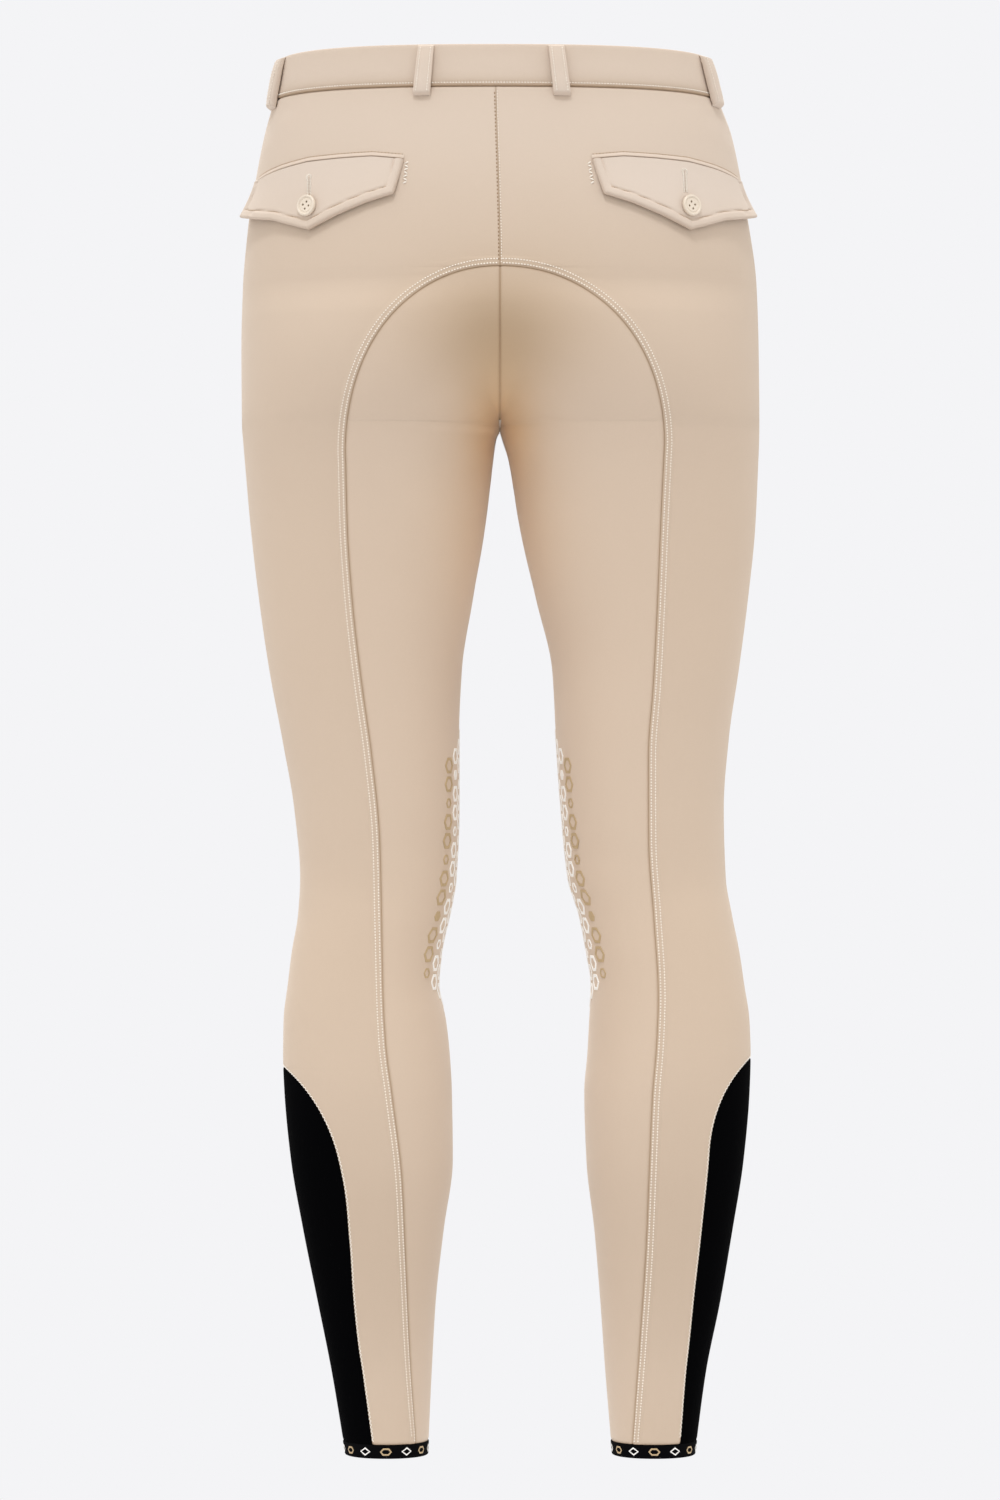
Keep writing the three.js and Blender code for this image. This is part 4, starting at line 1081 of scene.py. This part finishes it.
# Sewing: every stitch is a short raised thread, kept by the thread it is sewn in; the dark brown marks among
# them are painted shade in needle holes and the buttonhole's slit
stitchLooks = {
    "cream": {"pitch": 2.1, "length": 1.4, "width": 0.95, "height": 0.55},
    "fine": {"pitch": 2.1, "length": 1.3, "width": 0.7, "height": 0.45},
    "seamHole": {"pitch": 2.8, "length": 1.5, "width": 0.8, "height": 0.22},
    "bar": {"pitch": 2.4, "length": 3.3, "width": 1.15, "height": 0.8},
    "tan": {"pitch": 2.5, "length": 1.6, "width": 0.5, "height": 0.3},
    "hole": {"pitch": 2.5, "length": 0.85, "width": 0.62, "height": 0.16},
    "satin": {"pitch": 1.1, "length": 1.7, "width": 0.75, "height": 0.5},
    "slit": {"pitch": 0.9, "length": 1.5, "width": 0.24, "height": 0.1},
    "zigzag": {"pitch": 1.5, "length": 2.4, "width": 0.7, "height": 0.4},
}
sewing = {"creamThread": [], "tanThread": [], "holeShade": []}


def valuesAlong(values, travelled, at):
    return np.stack([np.interp(at, travelled, values[:, k]) for k in range(3)], -1)


def sewRow(thread, points, normals, look, start=0.5, turned=0.0, toAndFro=True):
    travelled = np.append(0, np.cumsum(np.linalg.norm(np.diff(points, axis=0), axis=1)))
    count = max(1, int(round(travelled[-1] / look["pitch"])))
    at = (np.arange(count) + start) * travelled[-1] / count
    centre, up = valuesAlong(points, travelled, at), unit(valuesAlong(normals, travelled, at))
    ahead = valuesAlong(points, travelled, at + 0.2) - valuesAlong(points, travelled, at - 0.2)
    ahead = unit(ahead - up * (ahead * up).sum(-1, keepdims=True))
    across = np.cross(up, ahead)
    way = np.where(np.arange(count) % 2, 1, -1) if toAndFro else np.ones(count)
    angle = (turned * way)[:, None]
    run = ahead * np.cos(angle) + across * np.sin(angle)
    size = np.broadcast_to([look["width"], look["length"], look["height"]], (count, 3))
    sewing[thread].append(np.stack([centre, np.cross(run, up), run, up, size], 1))


# A line beside a seam, at a distance on the cloth. The seat's seam passes the crotch, where the
# way round grows at once, so its places are found from their distance to the centre line.
def offsetLine(side, name, offset):
    seam = seams[side][name]
    if name == "seat":
        points, normals = clothPoint(side, seam["share"], seam["z"])
        ahead = unit(np.gradient(points, axis=0))
        moved = points + np.cross(ahead, normals) * sign[side] * offset
        z = moved[:, 2]
        return shareOfWidth(side, sign[side] * (moved[:, 0] - body["lean"](z)), z), z
    along, z = alongAt(side, seam["share"], seam["z"]), seam["z"]
    run, fall = np.gradient(along), np.gradient(z)
    size = np.hypot(run, fall)
    along, z = along - fall / size * offset, z + run / size * offset
    return shareAt(side, along, z), z


def sewBeside(thread, kind, side, seamName, offset, look, start=0.5, turned=0.0, keep=None):
    share, z = offsetLine(side, seamName, offset)
    if keep is not None:
        chosen = keep(share, z)
        share, z = share[chosen], z[chosen]
    base, normal = clothPoint(side, share, z)
    lift, _ = clothRelief(kind, side, base)
    sewRow(thread, base + normal * (lift[:, None] + 0.06), normal, stitchLooks[look], start, turned)


def aboveHem(share, z):
    return (z > hemZ + 0.8) & (z < seamZ - 1)


for side in sides:
    for offset, start in ((1.8, 0.5), (4.8, 0.25)):
        sewBeside("creamThread", "back", side, "seat", offset, "cream", start,
                  keep=lambda share, z: aboveHem(share, z) & (share > 0.002))
        sewBeside("creamThread", "front", side, "inner", -offset, "fine", start, keep=aboveHem)
    for kind, name, way in (("back", "ankleBack", -1), ("front", "ankleFront", 1)):
        sewBeside("creamThread", kind, side, name, way * 0.9, "zigzag", turned=0.75, keep=aboveHem)


def aboveArch(share, z):
    return (z > seatArch["left"]["top"]) & (z < seamZ - 1)


# A dark dotted row beside the centre back seam: painted shade of the needle holes
sewBeside("holeShade", "back", "left", "centreBack", 0.75, "seamHole", keep=aboveArch)
sewBeside("creamThread", "back", "right", "centreBack", 0.8, "fine", 0.0, keep=aboveArch)
sewBeside("tanThread", "front", "left", "centreFront", -1.6, "tan", keep=lambda share, z: z < -190)
# The thread end at the crotch
points, normals = clothPoint("left", np.zeros(10), np.linspace(crotchZ + 5, crotchZ + 0.6, 10), 0.1)
sewRow("creamThread", points, normals, stitchLooks["zigzag"], turned=0.9)


# The waistband's row runs along its whole path, just above its seam
def bandRow(part, out):
    path = waistPath()
    points, normals = np.empty((len(path["share"]), 3)), np.empty((len(path["share"]), 3))
    for side in sides:
        mine = path["side"] == sign[side]
        share = path["share"][mine]
        height = mix(0, seamZ, part)
        points[mine], normals[mine] = clothPoint(side, share, rowZ(height, share), out + path["step"][mine])
    return points, normals


points, normals = bandRow(0.925, 0.2)
sewRow("creamThread", points, normals, stitchLooks["cream"])


def denseLine(corners, step=0.8):
    lengths = np.append(0, np.cumsum(np.linalg.norm(np.diff(corners, axis=0), axis=1)))
    at = np.linspace(0, lengths[-1], int(lengths[-1] / step))
    return np.stack([np.interp(at, lengths, corners[:, k]) for k in range(corners.shape[1])], -1)


# Corners of the flap's border moved in by a distance, so that a row keeps off each edge
def flapInset(distance):
    corners = flapBorder[:, :2]
    ahead = unit(np.diff(corners, axis=0))
    left = np.stack([-ahead[:, 1], ahead[:, 0]], -1)
    moved = [corners[0] + left[0] * distance]
    for i in range(1, len(corners) - 1):
        middle = unit(left[i - 1] + left[i])
        moved.append(corners[i] + middle * distance / max(0.5, float(middle @ left[i])))
    moved.append(corners[-1] + left[-1] * distance)
    return np.array(moved)


weltSteps = np.linspace(0.05, lastStep - 0.05, 160)
buttonhole = {"left": {"eye": (137.7, -93.8)}, "right": {"eye": (135.3, -89.8)}, "length": 15,
              "half": 1.1, "eyeRadius": 1.9, "slitFrom": 1.6}
bartacks = {"places": ((64.2, -84, -100.5), (207, -90.5, -97)), "lean": 0.12, "turned": 1.05}
for side in sides:
    line = denseLine(flapInset(flap["border"])[1:-1])
    line = line[line[:, 1] < np.interp(line[:, 0], flapTable["topAlong"], flapTable["topZ"]) - 0.5]
    step, down = flapStepAt(line[:, 0], line[:, 1])
    points, normals = flapSpot(side, step, down, 0.1)
    sewRow("tanThread", points, normals, stitchLooks["tan"])
    # Dark marks between the stitches: painted shade in the needle holes
    sewRow("holeShade", points, normals, stitchLooks["hole"], 0.0)
    z = flapEdge("topZ", weltSteps) + welt["aboveFlap"] + welt["height"] + 0.3
    share = shareOfLength(side, flapEdge("topAlong", weltSteps), z, "back")
    points, normals = clothPoint(side, share, z, 0.08)
    sewRow("tanThread", points, normals, stitchLooks["tan"])
    # Dark marks between the stitches: painted shade in the needle holes
    sewRow("holeShade", points, normals, stitchLooks["hole"], 0.0)
    for along, top, low in bartacks["places"]:
        z = np.linspace(top, low, 40)
        share = shareOfLength(side, along + (top - z) * bartacks["lean"], z, "back")
        points, normals = clothPoint(side, share, z, 0.1)
        sewRow("creamThread", points, normals, stitchLooks["bar"], turned=bartacks["turned"])
    # Keyhole: an eye and a slit towards the flap's point, edged with close stitches
    eye = np.array(buttonhole[side]["eye"])
    r, half = buttonhole["eyeRadius"], buttonhole["half"]
    turn = np.linspace(-0.3 * np.pi, 1.3 * np.pi, 24)
    loop = [eye + r * np.array([math.cos(t), math.sin(t)]) for t in turn]
    depths = np.linspace(buttonhole["slitFrom"], buttonhole["length"], 12)
    slit = [np.array([eye[0] - half, eye[1] - d]) for d in depths]
    other = [np.array([eye[0] + half, eye[1] - d]) for d in depths[::-1]]
    line = denseLine(np.array(other + loop + slit), 0.3)
    step, down = flapStepAt(line[:, 0], line[:, 1])
    points, normals = flapSpot(side, step, down, 0.12)
    sewRow("creamThread", points, normals, stitchLooks["satin"], turned=np.pi / 2, toAndFro=False)
    # A dark row along the slit: painted shade inside the cut
    line = denseLine(np.array([eye, eye - [0, buttonhole["length"]]]), 0.5)
    step, down = flapStepAt(line[:, 0], line[:, 1])
    points, normals = flapSpot(side, step, down, 0.02)
    sewRow("holeShade", points, normals, stitchLooks["slit"])
    for name, centres in loopPlaces.items():
        for edge in (-1, 1):
            along = np.linspace(0.05, 0.95, 40)
            across = edge * (beltLoop["width"] / 2 - beltLoop["rowInset"])
            points, normals = loopSpot(side, centres[side], along, across, loopOut(along) - 0.22)
            sewRow("creamThread", points, normals, stitchLooks["fine"])
# The fly's curved row
height = flyTop - (fly["length"] - fly["stitchInset"]) * np.linspace(0, 1, 200)
inset = flyReach(height) - fly["stitchInset"]
inset = np.where(inset > 0.5, inset, np.nan)
good = ~np.isnan(inset)
points, normals = flySpot(inset[good], height[good], fly["gap"] + fly["thickness"] - 0.25)
sewRow("tanThread", points, normals, stitchLooks["tan"])
print("sewing laid out")


# One stitch across, along and up, as rings of a bent capsule
def stitchForm():
    ring = np.arange(6) * np.pi / 3
    points = [(0, -0.5, -0.7)]
    for along, size, up in ((-0.36, 0.8, 0.25), (0, 1, 0.55), (0.36, 0.8, 0.25)):
        points += [(0.5 * size * math.cos(t), along, up + 0.5 * size * math.sin(t)) for t in ring]
    points.append((0, 0.5, -0.7))
    faces = [(0, 1 + (k + 1) % 6, 1 + k) for k in range(6)]
    for row in (0, 1):
        first = 1 + 6 * row
        for k in range(6):
            n = (k + 1) % 6
            faces += [(first + k, first + n, first + 6 + n), (first + k, first + 6 + n, first + 6 + k)]
    faces += [(19, 13 + k, 13 + (k + 1) % 6) for k in range(6)]
    return np.array(points), np.array(faces)


stitchPoints, stitchFaces = stitchForm()
for thread, rows in sewing.items():
    every = np.concatenate(rows)
    centre, across, run, up, size = (every[:, k] for k in range(5))
    scaled = stitchPoints[None] * size[:, None]
    points = (centre[:, None] + scaled[..., :1] * across[:, None] + scaled[..., 1:2] * run[:, None]
              + scaled[..., 2:] * up[:, None])
    faces = (stitchFaces[None] + 20 * np.arange(len(every))[:, None, None]).reshape(-1, 3)
    piece = makePiece(f"sewing_{thread}", points, faces, join=False, sharpOver=80)
    dress(piece, finishes[thread])
    print(thread, len(every), "stitches")

# Raised grip print on the inner knee, and marks on the hem bands: outlines of plain shapes. On the knee the
# marks nearer the inner leg than a set distance are cream, a painted highlight on the tan print; on the hem
# bands cream and tan alternate as print.
grip = {"middleZ": -581, "halfHeight": 99, "middleAlong": -5, "halfReach": 50, "pitch": 15.5, "radius": 6.5,
        "line": 2.1, "height": 0.45, "paintedHighlightWithin": 34}


def markPoints(side, centre, outlineShape, line, height, base):
    outlineShape = np.array(outlineShape, float)
    size = np.abs(outlineShape).max(0)
    shrink = 1 - line / size if line else np.array([0.02, 0.02])
    bevel = 0.3 / size
    rings = [(1 + 0 * bevel, -0.15), (1 + 0 * bevel, height * 0.5), (1 - bevel, height),
             (shrink + bevel, height), (shrink, height * 0.5), (shrink, -0.15)]
    points = []
    for scale, lift in rings:
        flat = centre + outlineShape * scale
        share = shareAt(side, flat[:, 0], flat[:, 1])
        points.append(clothPoint(side, share, flat[:, 1], base + lift)[0])
    return np.array(points)


def markFaces(count, rows=6):
    index = np.arange(rows * count).reshape(rows, count)
    index = np.vstack([np.hstack([index, index[:, :1]]), np.append(index[0], index[0, 0])[None]])
    return gridFaces(index)


def polygonShape(corners, radiusAcross, radiusUp, between=3):
    turn = np.arange(corners) * 2 * np.pi / corners
    points = np.stack([np.cos(turn) * radiusAcross, np.sin(turn) * radiusUp], -1)
    closed = np.vstack([points, points[:1]])
    t = np.arange(between)[:, None] / between
    return np.concatenate([mix(closed[i], closed[i + 1], t) for i in range(corners)])


def printMarks(name, marks, material):
    if not marks:
        return
    points, faces, count = [], [], 0
    for mark in marks:
        points.append(mark.reshape(-1, 3))
        faces.append(markFaces(mark.shape[1]) + count)
        count += len(points[-1])
    piece = makePiece(name, np.concatenate(points), np.concatenate(faces), join=False, sharpOver=35)
    dress(piece, finishes[material])


for side in sides:
    marks = {"creamPrintAndHighlight": [], "tanGrip": []}
    rowPitch = grip["pitch"] * 0.866 / 2
    rows = int(grip["halfHeight"] / rowPitch) + 1
    for row in range(-rows, rows + 1):
        z = grip["middleZ"] + row * grip["pitch"] * 0.866 / 2
        for column in range(-4, 5):
            along = grip["middleAlong"] + (column + 0.5 * (row % 2)) * grip["pitch"] * 1.732
            spread = abs((along - grip["middleAlong"]) / grip["halfReach"]) ** 3
            if spread + abs((z - grip["middleZ"]) / grip["halfHeight"]) ** 3 > 1:
                continue
            small = (row + 2 * column) % 3 == 0
            radius = grip["radius"] * (0.62 if small else 1)
            shape = polygonShape(6, radius, radius)
            # Painted highlight: knee marks short of this distance from the inner leg are cream instead of
            # tan
            kind = "creamPrintAndHighlight" if along < grip["paintedHighlightWithin"] else "tanGrip"
            line = grip["line"] if not small else (None if (row % 5 == 0) else 1.3)
            marks[kind].append(markPoints(side, np.array([along, z]), shape, line, grip["height"], 0))
    for kind, made in marks.items():
        printMarks(f"grip_{kind}_{side}", made, kind)

hemMarks = {"middleZ": -995, "pitch": 15, "across": 4.2, "up": 3.0, "line": 1.1, "height": 0.2, "on": 0.33}
for side in sides:
    z = hemMarks["middleZ"]
    around = float(totalAt(side, z, "back") + totalAt(side, z, "front"))
    count = int(around / hemMarks["pitch"])
    marks = {"creamPrintAndHighlight": [], "tanGrip": []}
    for k in range(count):
        along = -float(totalAt(side, z, "front")) + (k + 0.5) * around / count
        kind, corners = ("creamPrintAndHighlight", 4) if k % 2 else ("tanGrip", 6)
        shape = polygonShape(corners, hemMarks["across"], hemMarks["up"])
        marks[kind].append(markPoints(side, np.array([along, z]), shape, hemMarks["line"],
                                      hemMarks["height"], hemMarks["on"]))
    for kind, made in marks.items():
        printMarks(f"hem_marks_{kind}_{side}", made, kind)
print("grip and hem marks made")

# Four-hole buttons with a raised rim and a turned groove
button = {"diameter": 15.2, "hole": 1.7, "pitch": 3.6, "along": 138.7, "z": -114.5, "gap": 0.3}


def buildButton(side):
    radius = button["diameter"] / 2
    profile = [(0, 0), (radius - 0.8, 0), (radius - 0.25, 0.2), (radius, 0.7), (radius, 2.0),
               (radius - 0.2, 2.5), (radius - 0.6, 2.76), (radius - 1.05, 2.8), (radius - 1.5, 2.7),
               (radius - 1.8, 2.4), (radius - 2.05, 2.05), (radius - 2.4, 1.98), (radius - 2.7, 2.1),
               (radius - 2.95, 2.28), (radius - 3.4, 2.2), (1.2, 2.0), (0, 1.96)]
    steps = 72
    turn = np.arange(steps) * 2 * np.pi / steps
    mesh = bpy.data.meshes.new("buttonBlank")
    shaped = bmesh.new()
    rings = []
    for r, z in profile:
        if r == 0:
            rings.append([shaped.verts.new((0, 0, z * mm))])
        else:
            circle = [(r * math.cos(t) * mm, r * math.sin(t) * mm, z * mm) for t in turn]
            rings.append([shaped.verts.new(spot) for spot in circle])
    for first, second in zip(rings, rings[1:]):
        for k in range(steps):
            n = (k + 1) % steps
            corners = [first[k % len(first)], first[n % len(first)]]
            corners += [second[n % len(second)], second[k % len(second)]]
            shaped.faces.new(list(dict.fromkeys(corners)))
    bmesh.ops.recalc_face_normals(shaped, faces=shaped.faces)
    shaped.to_mesh(mesh)
    shaped.free()
    piece = bpy.data.objects.new(f"resin_button_{side}", mesh)
    bpy.context.scene.collection.objects.link(piece)
    drill = bmesh.new()
    radius, away = button["hole"] / 2 * mm, button["pitch"] / 2 * mm
    for x in (-away, away):
        for y in (-away, away):
            bmesh.ops.create_cone(drill, cap_ends=True, segments=20, radius1=radius, radius2=radius,
                                  depth=10 * mm, matrix=Matrix.Translation((x, y, 0)))
    holes = bpy.data.meshes.new("buttonHoles")
    drill.to_mesh(holes)
    drill.free()
    cutter = bpy.data.objects.new("buttonHoles", holes)
    bpy.context.scene.collection.objects.link(cutter)
    cut = piece.modifiers.new("holes", "BOOLEAN")
    cut.operation, cut.object, cut.solver = "DIFFERENCE", cutter, "EXACT"
    ready = piece.evaluated_get(bpy.context.evaluated_depsgraph_get())
    finished = bpy.data.meshes.new_from_object(ready)
    piece.modifiers.clear()
    bpy.data.objects.remove(cutter)
    piece.data = finished
    down = (flapEdge("topZ", 3) - button["z"]) / (flapEdge("topZ", 3) - flapEdge("lowZ", 3))
    seat = float(flapLift(3, down)) + flap["thickness"] + button["gap"]
    share = shareOfLength(side, button["along"], button["z"], "back")
    spot, out = clothPoint(side, share, button["z"], seat)
    turned = Vector((0, 0, 1)).rotation_difference(Vector(out.tolist())).to_matrix().to_4x4()
    finished.transform(Matrix.Translation(Vector((spot * mm).tolist())) @ turned)
    finished.shade_smooth()
    finished.set_sharp_from_angle(angle=math.radians(40))
    dress(piece, finishes["buttonResin"], f"button_{side}")


for side in sides:
    buildButton(side)
print("buttons made")

# A pale floor well below the hems, soft light from above and behind the camera, and the camera
studio = {"floorZ": -1.3, "floorRadius": 2.35, "paper": (0.905, 0.905, 0.922), "ambient": 0.67, "sky": 0.62,
          "warmth": (1.0, 0.98, 0.95), "lampTint": (0.94, 0.99, 1.06)}
floorMesh = bpy.data.meshes.new("floor")
shaped = bmesh.new()
bmesh.ops.create_circle(shaped, cap_ends=True, segments=96, radius=studio["floorRadius"],
                        matrix=Matrix.Translation((0, 0, studio["floorZ"])))
shaped.to_mesh(floorMesh)
shaped.free()
floor = bpy.data.objects.new("floor", floorMesh)
bpy.context.scene.collection.objects.link(floor)
paper = bpy.data.materials.new("Paper floor")
paper.use_nodes = True
paperTree = paper.node_tree
paperTone = useGroup(paperTree, "mottle", Broad=3.0, Fine=40.0)["Tone"]
paperShader = paperTree.nodes["Principled BSDF"]
bouncing = colourMix(paperTree, paperTone, (0.78, 0.78, 0.8), (0.82, 0.82, 0.84))
lookedAt = colourMix(paperTree, paperTone, (0.5, 0.5, 0.512), (0.52, 0.52, 0.532))
fromCamera = paperTree.nodes.new("ShaderNodeLightPath").outputs["Is Camera Ray"]
paperTree.links.new(colourMix(paperTree, fromCamera, bouncing, lookedAt), paperShader.inputs["Base Color"])
paperShader.inputs["Roughness"].default_value = 0.9
floorMesh.materials.append(paper)

world = bpy.data.worlds.new("studio")
bpy.context.scene.world = world
world.use_nodes = True
sky = world.node_tree
sky.nodes.clear()
seen, around, blend = (sky.nodes.new(kind) for kind in
                       ("ShaderNodeBackground", "ShaderNodeBackground", "ShaderNodeMixShader"))
seen.inputs["Color"].default_value = (*studio["paper"], 1)
around.inputs["Color"].default_value = (*studio["warmth"], 1)
heading = sky.nodes.new("ShaderNodeSeparateXYZ")
sky.links.new(sky.nodes.new("ShaderNodeTexCoord").outputs["Generated"], heading.inputs[0])
above = mathOf(sky, "MULTIPLY", mathOf(sky, "MAXIMUM", heading.outputs["Z"], 0.0), studio["sky"])
sky.links.new(mathOf(sky, "ADD", above, studio["ambient"]), around.inputs["Strength"])
rays = sky.nodes.new("ShaderNodeLightPath")
sky.links.new(rays.outputs["Is Camera Ray"], blend.inputs["Fac"])
sky.links.new(around.outputs[0], blend.inputs[1])
sky.links.new(seen.outputs[0], blend.inputs[2])
sky.links.new(blend.outputs[0], sky.nodes.new("ShaderNodeOutputWorld").inputs["Surface"])

lamps = {
    "key": {"place": (0.9, 4.8, 8.8), "aim": (0, 0, -0.3), "size": 1.8, "power": 350},
    "backKey": {"place": (0.9, -4.8, 8.8), "aim": (0, 0, -0.3), "size": 1.8, "power": 250},
    "wallLeft": {"place": (5.0, 0.6, 0.3), "aim": (0, 0, -0.5), "size": 3.0, "power": 18},
    "wallRight": {"place": (-5.0, 0.6, 0.3), "aim": (0, 0, -0.5), "size": 3.0, "power": 18},
}
for name, lamp in lamps.items():
    light = bpy.data.lights.new(name, "AREA")
    light.size, light.energy, light.color = lamp["size"], lamp["power"], studio["lampTint"]
    holder = bpy.data.objects.new(name, light)
    holder.location = lamp["place"]
    holder.rotation_euler = (Vector(lamp["aim"]) - Vector(lamp["place"])).to_track_quat("-Z", "Y").to_euler()
    bpy.context.scene.collection.objects.link(holder)

view = {"distance": 4.8, "height": -0.4961, "frameHeight": 1.0755, "sensor": 36}
cameraData = bpy.data.cameras.new("camera")
cameraData.sensor_width = view["sensor"]
cameraData.lens = view["sensor"] * view["distance"] / view["frameHeight"]
camera = bpy.data.objects.new("camera", cameraData)
camera.location = (0, view["distance"], view["height"])
camera.rotation_euler = (math.pi / 2, 0, math.pi)
bpy.context.scene.collection.objects.link(camera)
bpy.context.scene.camera = camera
bpy.context.scene.view_settings.view_transform = "Standard"
print("studio set")
